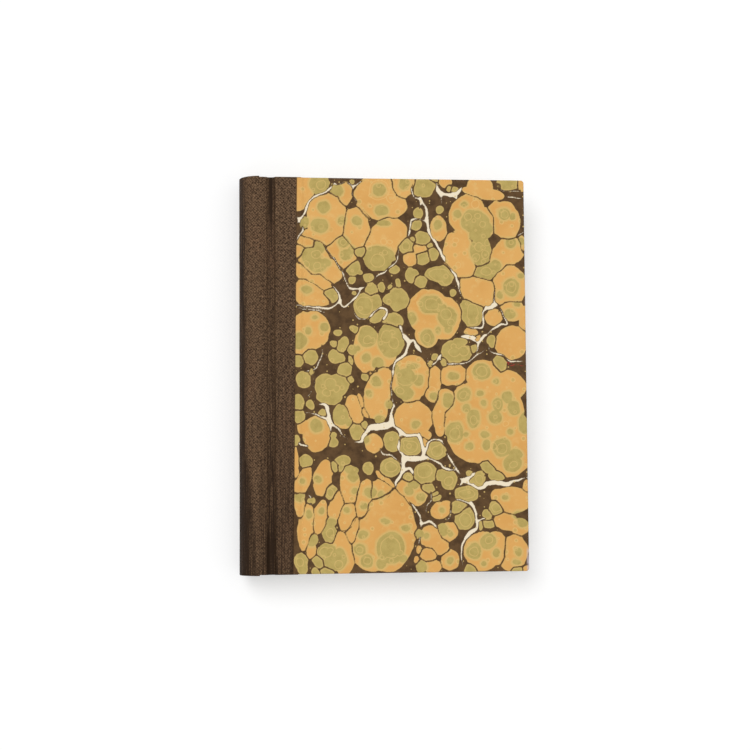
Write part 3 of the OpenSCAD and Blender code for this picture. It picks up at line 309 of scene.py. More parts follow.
    [[OLIVE, 46, -107.5, 3.4, 3.6, 0]],
    [[OCHRE, 78.3, -61.5, 2.1, 3.1, 0]],
    [[OLIVE, -46, -101, 4, 4.5, 0], [OLIVE, -44.8, -104.5, 2.9, 3.6, 0]],
    [[OLIVE, -36.8, -101.5, 2.1, 3.8, 40]],
    [[OLIVE, -38.2, -107.8, 2, 2.6, 0]],
    [[OLIVE, -32, -107.3, 3.2, 2.6, -15]],
    [[OLIVE, -22.6, 16.3, 2.7, 4.3, -20]],
    [[OLIVE, -27.7, 16.3, 1.9, 1.8, 0]],
    [[OLIVE, -27.5, 9.2, 3.2, 3.5, 0], [OLIVE, -25, 9, 3, 2.5, 0]],
    [[OLIVE, -21.6, 2.3, 3.9, 3.7, 0]],
    [[OLIVE, -18.7, 7.3, 1, 2.6, 20]],
    [[OLIVE, -18.5, -3.3, 1.7, 1.6, 0]],
    [[OLIVE, -11, -2, 1.6, 1.8, 0]],
    [[OLIVE, -16.7, 24.5, 2.5, 2.1, -30]],
    [[OLIVE, -25.5, 22.7, 2, 1.6, 0]],
    [[OLIVE, -41.5, 35, 1.4, 1.2, 0]]]

# Olive spots that dropped into the ochre: X, Y, half width, half height
SPOTS = [
    [-32.5, 92, 3.4, 3.3], [-35, 81.5, 4.7, 4.2], [-22.8, 84.5, 2, 2.2], [-14.3, 84, 2.7, 2.7],
    [-2, 101.5, 3.6, 3.6], [-1, 90, 4, 2.6], [0, 83.3, 4, 1.6], [11.5, 105, 3, 3],
    [-39.5, 64, 5.4, 5.8], [-36, 59.5, 5, 3.6], [-31.5, 60.8, 2.4, 2.2],
    [-22, 72.5, 3.2, 2.9], [-20.5, 65.5, 3.4, 3], [-17.5, 68, 2, 2.4], [-42.5, 46, 3, 2],
    [-46.5, 18, 4.2, 4.6], [-41.5, 23.5, 1.9, 1.8], [-32.5, 25.5, 2, 2.5],
    [-9, 20.3, 5.2, 5.8], [-14.5, 14, 1.4, 1.6], [-10, 9, 2.4, 2.4], [-3.5, 6, 3.6, 3.4],
    [26, 38.3, 6.6, 5.2], [35, 31.3, 5.3, 5.8], [31, 36.5, 3.6, 3.4], [15, 30.5, 3, 3.2],
    [23.8, 20, 3.9, 4.6], [35.5, 24.8, 2.1, 2.1], [30, 24, 1.5, 1.7], [30.2, 82.3, 2.5, 3.1],
    [51, 84.5, 7.8, 6.6], [57, 80.5, 4.4, 4], [54, 76.5, 6, 4], [41.2, 89, 2.4, 2.2],
    [45, 94, 1.7, 1.5], [67.5, 89, 3.2, 3.2], [72.5, 87.5, 1.6, 1.8], [71, 72.8, 3.1, 2.7],
    [62.3, 60, 3.4, 3], [77, 73.5, 1.8, 2.2], [71, 48, 4.4, 4.9], [76.5, 54.5, 1.8, 1.6],
    [64.5, 43.5, 1.7, 2], [70, 33, 3, 2.8], [74, 39, 1.6, 1.5],
    [12, -2.3, 5.1, 5.7], [18.7, -3.5, 2.9, 3.1], [15.5, 4.2, 3.4, 1.7], [10.3, -10.6, 5.6, 3.9],
    [6.8, 2.5, 1.6, 2.4], [27, -12.3, 2.2, 2.2], [-4.5, -4, 3, 3], [-8.5, -11, 1.8, 2],
    [16.7, -27.5, 2.4, 2.4], [38, -1, 2.7, 2.5], [35, -14.7, 3.2, 4.3], [54, 1.3, 4.7, 4.5],
    [61.7, -4, 1.6, 1.6], [43.8, -11.5, 4.2, 3.8], [53, -11, 1.9, 1.7], [68, -12.8, 3.3, 3.2],
    [62.5, -17, 3, 3.4], [71.5, -18.5, 3, 4.2], [77.3, -27, 3.2, 6], [49, -24.5, 3.7, 5.3],
    [61, -23.5, 3.7, 3.6], [45.3, -18.7, 2, 2.2], [54.5, -16.3, 1.5, 1.6], [38.5, -32.2, 4.9, 5.6],
    [46.3, -39.5, 2.3, 2], [55, -33.3, 2.5, 2], [56, -39, 2, 2.6], [64.5, -40.5, 5.2, 5.1],
    [70.5, -49.5, 5.5, 4.6], [72.5, -44.3, 4, 2.8], [69.5, -32, 1.6, 1.4], [45, -33, 1.5, 1.4],
    [-37.3, -28.3, 3.2, 3.9], [-36.5, -57, 2.1, 2.1], [-44.8, -58, 1.6, 1.6], [-17.5, -56, 2.7, 2.6],
    [-16.8, -63.5, 1.9, 1.9], [-41.5, -75.5, 1.8, 2.4], [-34.8, -74, 1.6, 1.8], [-25.2, -100, 3.9, 5.7],
    [-8, -64.3, 3.3, 2.9], [-2.3, -66, 2, 2], [-12, -72, 1.9, 2], [-20.8, -74, 1.7, 1.6],
    [0, -80, 2.5, 1.5], [-12.3, -87, 2.7, 2.2], [2.5, -94.5, 7.6, 8.6], [11, -84, 2.5, 2],
    [9.5, -100.5, 2.4, 2], [-2.5, -103.2, 2.8, 2.5], [-10.5, -101.5, 3.4, 3.6], [-14, -95, 3.2, 3.2],
    [13, -63.5, 2.5, 2.5], [19.3, -67, 2.6, 2.2], [31, -74, 1.6, 1.5], [35.3, -87, 1.6, 2],
    [22, -88, 1.6, 1.7], [35, -101.5, 1.9, 2], [56, -91.5, 4.4, 4.2], [48.3, -96.8, 4.2, 4.2],
    [61, -98, 2.2, 2.1], [53.5, -103.5, 1.5, 1.3], [73, -97.5, 2, 2.2], [71.8, -103, 2.4, 1.5],
    [74, -77.5, 4.2, 2.3], [75.5, -81.5, 3, 2.6], [66, -68, 1.7, 1.5], [-38, 30.5, 1.4, 1.2]]

# Rings left by drops that fell on a drop already there: X, Y, half width, half height
RINGS = [
    [-37, 65.5, 2.6, 2.3], [-42.5, 59.8, 1.9, 1.8], [-36.3, 59.3, 2, 1.7], [-22.2, 72.5, 1.6, 1.6],
    [-34, 104, 2.6, 2.4], [-2, 101.5, 5.6, 5.6], [4.6, 96.8, 2.4, 2.5], [-8.4, 71.3, 2.2, 1.7],
    [0.2, 73, 1.6, 1.7], [3.4, 73, 1.1, 1.1], [-3.5, 62, 3.8, 3.4], [0.8, 66.5, 1.7, 1.5],
    [22.5, 104.3, 0.8, 0.8], [12.5, 70.3, 2.3, 2.4], [31, 54.5, 5.6, 3.4], [35, 52.5, 3.2, 3],
    [51.3, 94.2, 2.3, 2.2], [47.2, 87, 2.2, 1.9], [52.6, 88, 1.7, 1.6], [55, 83, 1.6, 1.8],
    [53, 70.5, 2.4, 2.5], [56.5, 66.2, 2.1, 2.3], [51.5, 64.5, 1.9, 2], [57.8, 72.8, 1.5, 1.6],
    [57, 57, 3, 2.5], [67.6, 89, 2, 2], [71, 48, 2.6, 3], [-11, 37.3, 4.6, 4.7],
    [26.3, 38.3, 3.6, 3.5], [31.3, 40.2, 2, 1.7], [34.2, 33.3, 2.9, 3], [36.8, 28.6, 2, 2],
    [19.8, 38.3, 1.6, 1.5], [23.6, 19.6, 2.1, 2.4], [49, 34, 3, 4.5], [49.3, 28.6, 2.4, 2.1],
    [1.3, 20.3, 2.9, 3.2], [5.4, 17, 2.5, 2.9], [4.4, 22.6, 1.6, 1.3], [-9.2, 18.4, 2.2, 2.2],
    [-6.2, 18, 1.3, 1.5], [39, 12, 3.2, 2.8], [44, 12.5, 2.4, 2.5], [38.4, 15.6, 1.6, 1.3],
    [54, 1.3, 2.8, 2.8], [-29.5, -5.5, 3.2, 3.3], [-26, -8, 1.8, 1.7], [-31.5, -10.3, 2.2, 1.9],
    [12.3, -0.2, 6.4, 6.2], [11, -3.2, 3, 3], [14.2, 1.2, 1.7, 1.5], [8.6, -9.4, 2.2, 1.8],
    [43.6, -11.6, 2.2, 2], [62.6, -17, 1.6, 1.9], [49, -25.5, 1.9, 2.7], [38.7, -33, 2.7, 2.9],
    [64.3, -41, 3, 2.9], [71, -50, 2.2, 1.9], [59.6, -39.5, 1.6, 1.8], [14.2, -39.7, 3.7, 3.5],
    [12, -37.6, 1.8, 1.6], [28.3, -42.3, 3, 2.7], [30, -40.3, 1.6, 1.4], [3.2, -50.6, 3.2, 2.8],
    [21.5, -53.3, 4, 3.6], [19.7, -51.4, 1.8, 1.6], [35, -58.6, 2.3, 2.8], [12.7, -57, 1.4, 1.4],
    [44.6, -66, 4.2, 2.4], [43.7, -79.8, 3, 3.8], [43, -78, 1.5, 1.6], [51.8, -58, 2.1, 2.2],
    [61, -73.3, 2.4, 2.3], [62.6, -74, 1.2, 1.2], [-30, -64.6, 1.9, 2.2], [-30, -86, 1.9, 2.6],
    [-33, -96.2, 3, 2.6], [-30.2, -95, 1.4, 1.3], [-25.8, -102.8, 2.4, 2.3], [-46.3, -101.5, 2, 2.3],
    [2.3, -94.3, 5.2, 5.7], [2, -94, 1.9, 1.9], [7.6, -97.2, 1.7, 1.6], [-1.4, -99.3, 1.8, 1.6],
    [-10.3, -101.3, 1.9, 2], [-14, -95, 1.8, 1.7], [48.3, -96.8, 2.4, 2.3], [56.6, -90.6, 2, 1.9],
    [26, -8.5, 1.9, 1.8], [66.5, -27.5, 1.7, 1.6], [41.5, 60.4, 1.5, 1.7], [40, 74, 1.8, 1.6]]

# Hairlines of brown where a drop tore: width, then the points along each
CRACKS = [
    [0.5, [32.6, -29], [33.2, -24.5], [36, -22.3], [38, -19], [41.5, -17.3], [45, -16.2], [50, -14.5]],
    [0.4, [36.8, -25.5], [37.3, -22.5], [38.8, -19.5]],
    [0.5, [-2.5, -6], [0.3, -9.7], [2, -14.5], [3, -18]],
    [0.4, [-7.3, -67], [-8, -72], [-11, -77.5]],
    [0.4, [3, -64.5], [0.3, -69.5], [-4.5, -74.5], [-11, -79]],
    [0.4, [8.3, -78.3], [11, -76], [14.3, -74.6]],
    [0.4, [-25.5, -85], [-21, -84.6], [-17.5, -81.5], [-15.3, -77]],
    [0.9, [34.5, 80.5], [38, 79.3], [41.5, 77.3], [44.5, 74.6], [47.3, 73.6], [49, 76.3]],
    [0.4, [61, 29.5], [63.5, 33.5], [64, 37]]]

# A fleck of red colour, as short threads: width, then the points along each
REDS = [
    [0.5, [67.4, 7.2], [68.6, 6.2], [69.2, 4.9], [70.8, 4.3], [72.6, 4.6]],
    [0.45, [68.3, 6.8], [70, 6.1], [71.6, 4.9], [73.2, 4]],
    [0.45, [71, 4.6], [73.5, 4.9], [76, 4.4], [78.3, 4.2]]]

# Cream veins in the brown: width, then the points along each
VEINS = [
    [1.2, [-26.5, 104.5], [-30, 101], [-38, 97.5], [-41.5, 92], [-43.5, 87.5], [-47.5, 82]],
    [1.1, [-48, 86], [-45.3, 83.5], [-44.2, 79], [-46, 76.7], [-48, 72.5]],
    [0.7, [-26.5, 104.5], [-20, 105.3], [-16.3, 103.2], [-12, 106], [-7, 107.5]],
    [0.5, [-16.3, 103.2], [-16.2, 97], [-11, 91.3], [-6.3, 85.5]],
    [1, [-33, 70.5], [-29, 65.5], [-26, 61], [-22, 55], [-21, 50.5], [-18.8, 47.3], [-12.5, 47], [-9, 49]],
    [0.9, [-6, 50.5], [-4, 53.5], [0, 55.5], [3, 58.5], [6.5, 61], [8, 65], [8.5, 69]],
    [1.2, [-12.5, 47], [-14.5, 43], [-17.5, 40.5], [-22, 36.5], [-24, 40.5], [-25, 45], [-28.5, 49]],
    [1.1, [-24, 40.5], [-27, 37.5], [-31, 35.5], [-37, 36], [-41, 37], [-48, 37.5]],
    [0.5, [-48, 35.8], [-42, 35.2], [-36, 34], [-31, 33]],
    [0.8, [-17, 34], [-15, 31.2], [-11, 30], [-7, 32.5]],
    [1.5, [-7, 32.5], [-3.5, 35.6], [0, 36], [1.5, 33.5], [0, 30], [3, 29], [7, 28.5], [9.3, 25]],
    [1.8, [9.3, 25], [11, 21.5], [13, 18], [12.8, 15], [12, 12], [10, 10], [6, 6], [4.5, 1]],
    [0.6, [4.5, 1], [3.8, -6], [4, -12], [5.5, -18]],
    [2.2, [11.5, 20.3], [14, 18], [16, 18.5], [18, 15], [20.5, 11.5]],
    [1.7, [21, 98], [21.5, 95.5], [24, 91], [24.5, 82], [27, 76],
     [31, 69.5], [33.5, 63.5], [38, 58], [40.5, 53], [42, 46], [44, 42]],
    [0.9, [16, 108], [15.8, 103], [17.5, 98], [21, 95.8], [20, 92]],
    [2.4, [29.5, 106], [30.5, 102], [33, 99.8], [38, 99.5], [41.5, 101], [44, 103.5]],
    [0.8, [32.2, 100], [32.6, 94]],
    [0.9, [40, 100], [41, 97.5]],
    [1.1, [22.5, 84.5], [18, 85.8], [15.5, 84.5], [14.5, 78], [13.5, 76]],
    [0.9, [68.5, 99], [72, 98.3], [79, 98]],
    [0.5, [64, 104], [68, 102], [74, 101.8], [78, 103]],
    [0.5, [74.5, 76.3], [79, 79]],
    [1, [57.5, 16], [58.5, 12.5], [61, 11], [66, 10.3], [70, 7], [74, 6.5], [79, 7.5]],
    [2.8, [43, 20.6], [48, 20], [53, 18.4], [56, 21]],
    [1.3, [53, 18.4], [51.5, 15], [50.5, 12]],
    [1.1, [56, 21], [60, 24.5], [65, 27], [68.5, 28], [66.5, 32], [64.5, 37]],
    [1.2, [61.5, 47], [61.5, 41], [61.5, 37.2], [57.5, 36.5], [54.8, 34], [55, 30.5], [54.5, 26],
     [50, 25], [47, 25.3]],
    [2, [56.5, 36], [60, 37.5], [63, 38]],
    [0.8, [56, 14], [52, 10.8], [45, 6.3], [38, 5.5], [33, 6.3], [30.3, 9]],
    [1, [24, 9.5], [24.8, 5.5], [28, 6], [30.3, 9], [32.5, 11]],
    [0.9, [-34.5, 15.5], [-33.5, 12], [-35, 8], [-37.5, 3.5], [-42, 1.5], [-43.5, 0.8]],
    [0.4, [-39.5, 1], [-38.5, -5], [-41, -11], [-43, -12]],
    [2, [-36, -16.5], [-32, -17.3], [-31, -21], [-30, -25.5], [-29.5, -31]],
    [1.1, [-44, -21.5], [-39, -21.5], [-34.5, -23.5], [-30.5, -26], [-25, -30.5], [-23, -33], [-20, -35.2]],
    [1.2, [-49, -35], [-45.5, -38.5], [-41, -39]],
    [0.6, [-42, -65], [-39.5, -68], [-40.5, -70.5]],
    [2.8, [-16.5, -37], [-12.5, -37], [-11, -33.5], [-8.5, -30], [-5, -29], [0, -29], [4, -26],
     [3.5, -21.5], [5.5, -18]],
    [3.2, [-7, -29.8], [-2, -29], [2.5, -27.5]],
    [2.3, [4, -26], [7, -30], [12, -32.8], [19, -33.5], [20.5, -40], [21, -45]],
    [1.1, [21, -44.5], [24.5, -37], [30, -36.3], [33, -40]],
    [2, [9.5, -31], [7.5, -35], [7.8, -40], [9.5, -44], [10, -50], [9, -55], [6, -58.5], [5, -62]],
    [2.6, [9.5, -46.5], [13, -46.5], [20, -46], [23, -45.5]],
    [1.4, [23, -45.5], [26, -47], [30, -49.5], [32, -51.3], [38, -52.5]],
    [1.6, [10, -53.5], [13.5, -52], [15.5, -55]],
    [0.9, [-3, -41], [-1, -43.5], [4, -44.8], [8, -49]],
    [1.2, [33, -43], [38, -50], [41, -55]],
    [2.6, [40, -57.5], [44, -58.5], [47, -60.5], [52, -62.5], [56, -60.5], [62, -60],
     [67, -60.5], [71, -58.8], [79, -57]],
    [2, [41, -61.5], [43.5, -58.5], [49, -55], [55, -56.3]],
    [1.2, [13.5, -69.5], [17, -74], [19, -78], [19.5, -84]],
    [1.3, [19.5, -82], [24, -80.6], [26.5, -82], [28, -84]],
    [0.6, [22, -76.5], [22.6, -72], [25, -68.7], [24.6, -64.5]],
    [0.5, [36.6, -71.5], [35.6, -77.5], [33.5, -79.8]],
    [0.7, [18.6, -87], [18.2, -93]],
    [1, [50.5, -81], [54, -79.5], [57, -78.5]],
    [1.9, [37, -68.5], [43, -69.5], [47, -71], [49.5, -75], [50, -80], [50, -84], [46, -87],
     [43, -91], [41.5, -96], [41.8, -106]]]


def linear(red, green, blue):
    """A colour given as 0 to 255 on screen, as the shader's linear values."""
    def one(value):
        share = value / 255
        return share / 12.92 if share <= 0.04045 else ((share + 0.055) / 1.055) ** 2.4
    return (one(red), one(green), one(blue))


def length(name, text, millimetres):
    """A property for a length, given in millimetres."""
    return bpy.props.FloatProperty(name=name, description=text, default=millimetres * MM,
                                   unit="LENGTH", precision=5)


def colour(name, text, red, green, blue):
    """A property for a colour, given as 0 to 255 on screen."""
    return bpy.props.FloatVectorProperty(name=name, description=text, default=linear(red, green, blue),
                                         subtype="COLOR", size=3, min=0.0, max=1.0)


class NotebookSizes(bpy.types.PropertyGroup):
    """Sizes of the covering that can be set by themselves."""
    cloth_head: length("Cloth at the head", "Cloth that shows on a board at the head", 11.9)
    cloth_tail: length("Cloth at the tail", "Cloth that shows on a board at the tail", 9.4)
    lap: length("Lap", "How far the paper laps over the cloth", 3.0)
    paper: length("Paper", "Thickness of the marbled paper", 0.2)
    cloth: length("Cloth", "Thickness of the book cloth", CLOTH_T)
    turn_in: length("Turn-in", "Depth of the turn-ins inside the boards", 14.0)
    fold: length("Fold", "Radius of the paper's fold over a board's edge", 0.45)
    corner: length("Corner", "Radius of a board's corners at the fore-edge", 1.55)
    front_step: length("Front step", "Distance between points on the front's marbled paper", 0.57)
    back_step: length("Back step", "Distance between points on the back's marbled paper", 0.9)
    drop_gap: length("Gap", "Brown that stays between two drops that meet", 0.7)
    swirl: length("Swirl", "How far the drops' outlines wander", 0.75)
    joint: length("Joint", "Width of the groove between spine and board", 4.1)
    groove_rise: length("Groove rise", "How much shallower the groove is halfway along the spine", 0.8)
    cap: length("Cap", "Radius of the cloth's turn at head and tail", 0.55)
    thread: length("Thread", "Pitch of the book cloth's threads", 0.82)


class NotebookColours(bpy.types.PropertyGroup):
    """Colours of the covering, the paper stock and the boards."""
    ochre: colour("Ochre", "Large drops of the marbling", 222, 170, 96)
    # ochre_warm also gives the painted shade towards the tail
    ochre_warm: colour("Warm ochre", "Mottling in the large drops", 212, 156, 82)
    ochre_pale: colour("Pale ochre", "Thin colour in the large drops", 226, 184, 114)
    olive: colour("Olive", "Small drops of the marbling", 186, 164, 94)
    olive_dark: colour("Dark olive", "Mottling in the small drops", 170, 149, 82)
    halo: colour("Halo", "Ring round a small drop that lies on a large one", 209, 178, 108)
    ground: colour("Ground", "Brown ground of the marbling", 96, 70, 40)
    # ground_dark also gives the painted shadow along the paper's lapped edge
    ground_dark: colour("Dark ground", "Brown where the drops squeezed it", 74, 52, 28)
    cream: colour("Cream", "Cream veins in the ground", 238, 224, 196)
    red: colour("Red", "A fleck of red colour at the fore-edge", 178, 44, 48)
    worn: colour("Worn", "Paper rubbed bare at an edge", 205, 192, 196)
    thread_light: colour("Light thread", "Crown of the cloth's threads", 140, 110, 82)
    # thread_dark is also the colour of the painted shade in the groove, at the spine's edge and towards the
    # tail
    thread_dark: colour("Dark thread", "Hollows between the cloth's threads", 44, 29, 16)
    thread_red: colour("Reddish thread", "Warmer patches of the cloth", 104, 68, 48)
    page: colour("Page", "Cream paper stock", 240, 232, 211)
    page_dark: colour("Page edge", "Shade between the pages", 201, 189, 163)
    board: colour("Board", "Grey board of the covers", 150, 139, 124)
    kraft: colour("Kraft", "Lining paper on the spine", 170, 134, 93)
    band: colour("Headband", "Light stitches of the headbands", 214, 196, 158)
    band_dark: colour("Headband stripe", "Dark stitches of the headbands", 110, 66, 48)


def sizes():
    """The sizes in millimetres, as plain numbers by name."""
    group = bpy.context.scene.notebook_sizes
    return {name: getattr(group, name) / MM for name in NotebookSizes.__annotations__}


def tone(name):
    """A colour of the notebook with its alpha."""
    return (*getattr(bpy.context.scene.notebook_colours, name), 1.0)


class Wire:
    """A shader socket whose arithmetic adds Math nodes."""

    def __init__(self, paint, socket):
        self.paint = paint
        self.socket = socket

    def math(self, operation, *values):
        return self.paint.node("ShaderNodeMath", {"operation": operation}, values)

    def __add__(self, other):
        return self.math("ADD", self, other)

    def __radd__(self, other):
        return self.math("ADD", other, self)

    def __sub__(self, other):
        return self.math("SUBTRACT", self, other)

    def __rsub__(self, other):
        return self.math("SUBTRACT", other, self)

    def __mul__(self, other):
        return self.math("MULTIPLY", self, other)

    def __rmul__(self, other):
        return self.math("MULTIPLY", other, self)

    def __abs__(self):
        return self.math("ABSOLUTE", self)

    def least(self, other):
        return self.math("MINIMUM", self, other)

    def most(self, other):
        return self.math("MAXIMUM", self, other)

    def sine(self):
        return self.math("SINE", self)

    def rise(self, start, end):
        """0 at start and 1 at end, with a smooth step between them, whichever is the larger."""
        return self.paint.node("ShaderNodeMapRange", {"interpolation_type": "SMOOTHSTEP"},
                               {"Value": self, "From Min": start, "From Max": end})


class Paint:
    """A material in the making: nodes, wires and the shader at the end."""

    def __init__(self, name):
        self.material = bpy.data.materials.new(name)
        self.material.use_nodes = True
        self.tree = self.material.node_tree
        self.tree.nodes.clear()

    def node(self, kind, settings=None, inputs=(), output=0):
        made = self.tree.nodes.new(kind)
        for key, value in (settings or {}).items():
            setattr(made, key, value)
        pairs = inputs.items() if isinstance(inputs, dict) else enumerate(inputs)
        for key, value in pairs:
            if isinstance(value, Wire):
                self.tree.links.new(value.socket, made.inputs[key])
            else:
                made.inputs[key].default_value = value
        return Wire(self, made.outputs[output]) if made.outputs else None

    def mix(self, first, second, share):
        """A colour that goes from first to second as share goes from 0 to 1."""
        return self.node("ShaderNodeMix", {"data_type": "RGBA"}, {0: share, 6: first, 7: second}, 2)

    def place(self):
        return self.node("ShaderNodeTexCoord", output="Object")

    def attribute(self, name):
        return self.node("ShaderNodeAttribute", {"attribute_name": name}, output="Vector")

    def split(self, vector):
        return [self.node("ShaderNodeSeparateXYZ", inputs=[vector], output=i) for i in range(3)]

    def stretch(self, vector, scale):
        """The vector with each axis multiplied by its own scale."""
        return self.node("ShaderNodeMapping", inputs={"Vector": vector, "Scale": scale})

    def grain(self, vector, scale, detail=2.0, roughness=0.5):
        """Noise from 0 to 1, with scale features to the metre or to the vector's unit."""
        return self.node("ShaderNodeTexNoise", inputs={
            "Vector": vector, "Scale": scale, "Detail": detail, "Roughness": roughness})

    def cells(self, vector, scale):
        """Distance to the nearest of some scattered points, and a number from 0 to 1 for each point."""
        inputs = {"Vector": vector, "Scale": scale, "Randomness": 0.9}
        settings = {"voronoi_dimensions": "2D"}
        far = self.node("ShaderNodeTexVoronoi", settings, inputs)
        picked = self.node("ShaderNodeTexVoronoi", settings, inputs, output="Color")
        return far, self.split(picked)[0]

    def surface(self, base, roughness, height=None, depth=0.0, specular=0.5):
        """Joins the colour, the roughness and the relief to the shader, and returns the material."""
        inputs = {"Base Color": base, "Roughness": roughness, "Specular IOR Level": specular}
        if height is not None:
            inputs["Normal"] = self.node("ShaderNodeBump", inputs={
                "Strength": 1.0, "Distance": depth * MM, "Height": height})
        shader = self.node("ShaderNodeBsdfPrincipled", inputs=inputs)
        self.node("ShaderNodeOutputMaterial", inputs=[shader])
        return self.material


def marbled_paper(name):
    """Marbled paper: ochre and olive drops, cream veins and brown ground, read from the sheet's fields."""
    paint = Paint(name)
    place = paint.place()
    ochre_edge, inner_olive, olive_edge = paint.split(paint.attribute("drops"))
    spot_edge, vein_edge, cloth_side = paint.split(paint.attribute("veins"))
    ring_edge, red_edge = paint.split(paint.attribute("rings"))[:2]
    rim, tail, worn_corner = paint.split(paint.attribute("wear_and_shade"))
    flat = paint.attribute("flat")

    ragged = (paint.grain(place, 1100, 3, 0.6) - 0.5) * 0.5
    mottle = paint.grain(place, 260, 4, 0.6)
    broad = paint.grain(place, 38, 3, 0.55)
    speckle = paint.grain(place, 2200, 2, 0.6)
    wobble = (paint.grain(flat, 0.3, 3, 0.6) - 0.5) * 2.4
    ochre_side = ochre_edge + ragged
    olive_side = olive_edge + ragged
    nearest = ochre_edge.least(olive_edge)

    ground = paint.mix(tone("ground"), tone("ground_dark"), mottle.rise(0.35, 0.7))
    web = vein_edge + ragged * 1.3 + 0.12
    ground = paint.mix(ground, tone("cream"), web.rise(0.18, -0.18) * nearest.rise(0.12, 0.34))
    dots, pick = paint.cells(flat, 0.42)
    dots_share = (dots - (pick - 0.75) * 0.9).rise(0.03, -0.03) * pick.rise(0.82, 0.83)
    dots_share = dots_share * nearest.rise(0.5, 0.9)
    ground = paint.mix(ground, tone("halo"), dots_share * 0.8)

    spot = (spot_edge + wobble * 0.5).least(inner_olive + wobble * 0.35) + ragged * 0.6
    small, small_pick = paint.cells(flat, 0.19)
    small = (small - 0.02 - (1.0 - small_pick) * 0.5) * 5.3 + ragged + wobble * 0.15
    small_on = small_pick.rise(0.55, 0.56)
    ring_line = abs(small).rise(0.5, 0.1) * small_on
    ochre = paint.mix(tone("ochre"), tone("ochre_warm"), broad.rise(0.4, 0.7) * 0.7)
    ochre = paint.mix(ochre, tone("ochre_pale"), mottle.rise(0.5, 0.72) * 0.6)
    ochre = paint.mix(ochre, tone("halo"), ochre_edge.rise(-1.3, -0.2) * 0.5)
    # Painted shade: the ochre grows warmer and darker towards the tail
    ochre = paint.mix(ochre, tone("ochre_warm"), tail * 0.35)
    ochre = paint.mix(ochre, tone("olive"), small.rise(0.2, -0.2) * small_on * 0.55)
    ochre = paint.mix(ochre, tone("ochre_pale"), ring_line * 0.7)
    ochre = paint.mix(ochre, tone("halo"), spot.rise(1.8, 0.3) * 0.85)

    olive = paint.mix(tone("olive"), tone("olive_dark"), mottle.rise(0.35, 0.7) * 0.8)
    olive = paint.mix(olive, tone("halo"), speckle.rise(0.5, 0.75) * 0.35)
    olive = paint.mix(olive, tone("halo"), ring_line * 0.6)
    ring = abs(ring_edge + wobble * 0.2 + ragged * 0.3).rise(0.36, 0.1) * 0.75
    olive = paint.mix(olive, tone("halo"), ring)
    ochre = paint.mix(ochre, tone("ochre_pale"), ring)
    inner = paint.mix(ochre, olive, spot.rise(0.25, -0.25))
    olive_rim = paint.mix(olive, tone("halo"), olive_side.rise(-1.0, -0.2) * 0.5)

    base = paint.mix(ground, inner, ochre_side.rise(0.18, -0.18))
    base = paint.mix(base, olive_rim, olive_side.rise(0.18, -0.18))
    base = paint.mix(base, tone("red"), (red_edge + ragged * 0.4).rise(0.1, -0.15) * 0.85)
    # Painted shadow: a thin dark line on the paper along its edge where it laps over the cloth
    base = paint.mix(base, tone("ground_dark"), cloth_side.rise(0.6, 0.15) * 0.9)
    rubbed = (rim + mottle * 1.2).rise(0.9, 0.3) * speckle.rise(0.4, 0.65) * 0.45
    base = paint.mix(base, tone("worn"), rubbed.most(worn_corner * mottle.rise(0.3, 0.55) * 0.85))
    return paint.surface(base, 0.6 + mottle * 0.16, speckle + mottle, 0.02, specular=0.2)


def book_cloth(name):
    """Dark brown plain-weave cloth, with uneven threads, on the cloth's own unfolded coordinates."""
    paint = Paint(name)
    flat = paint.attribute("flat")
    across, along, shade = paint.split(flat)
    pitch = sizes()["thread"]
    drift = (paint.grain(flat, 0.22, 3, 0.7) - 0.5) * 2.2
    warp = ((across + drift) * (math.pi / pitch)).sine()
    weft = ((along - drift) * (math.pi / pitch)).sine()
    over = (warp * weft).rise(-0.15, 0.15)
    threads = over * abs(warp) + (1.0 - over) * abs(weft)
    slub_along = paint.grain(paint.stretch(flat, (1.1, 0.4, 0.0)), 1.0, 2, 0.6)
    slub_across = paint.grain(paint.stretch(flat, (0.4, 1.1, 0.0)), 1.0, 2, 0.6)
    fleck = paint.grain(paint.stretch(flat, (0.8, 0.72, 0.0)), 1.0, 3, 0.9)
    patch = paint.grain(paint.stretch(flat, (0.05, 0.022, 0.0)), 1.0, 3, 0.6)
    # Painted shade: the flat attribute's third value darkens the cloth in the groove, at the spine's edge and
    # towards the tail, and long streaks of painted crease shade deepen it where it is already dark
    crease_shade = paint.grain(paint.stretch(flat, (1.1, 0.025, 0.0)), 1.0, 2, 0.6)
    shade = shade - (1.1 - shade) * (crease_shade.rise(0.4, 0.6) - 0.3) * 0.9
    slubs = slub_along.rise(0.35, 0.65) * 0.15 + slub_across.rise(0.35, 0.65) * 0.15
    light = threads * 0.25 + over * 0.33 + slubs
    light = light + fleck.rise(0.35, 0.65) * 0.7 - 0.42
    light = light * (0.75 + patch * 0.5)
    base = paint.mix(tone("thread_dark"), tone("thread_light"), light.least(1.0).most(0.0))
    base = paint.mix(base, tone("thread_red"), patch.rise(0.45, 0.7) * fleck.rise(0.4, 0.6) * 0.3)
    # Painted shade: the colour goes towards the dark thread colour as the painted shade value falls
    base = paint.mix(tone("thread_dark"), base, shade.least(1.0).most(0.0))
    roughness = 0.72 - threads * 0.1
    return paint.surface(base, roughness, threads + fleck * 0.8, 0.12, specular=0.12)


def page_edges(name):
    """Cream pages: fine uneven lines where the leaves lie on each other, smooth along them."""
    paint = Paint(name)
    place = paint.place()
    leaves = paint.grain(paint.stretch(place, (9.0, 9.0, 7500.0)), 1.0, 3, 0.7)
    sections = paint.grain(paint.stretch(place, (4.0, 4.0, 900.0)), 1.0, 2, 0.5)
    soil = paint.grain(place, 60, 4, 0.6)
    base = paint.mix(tone("page"), tone("page_dark"), leaves.rise(0.48, 0.78) * 0.8)
    base = paint.mix(base, tone("page_dark"), sections.rise(0.52, 0.66) * 0.35)
    base = paint.mix(base, tone("page_dark"), soil.rise(0.5, 0.8) * 0.25)
    return paint.surface(base, 0.82, leaves + sections, 0.08, specular=0.25)


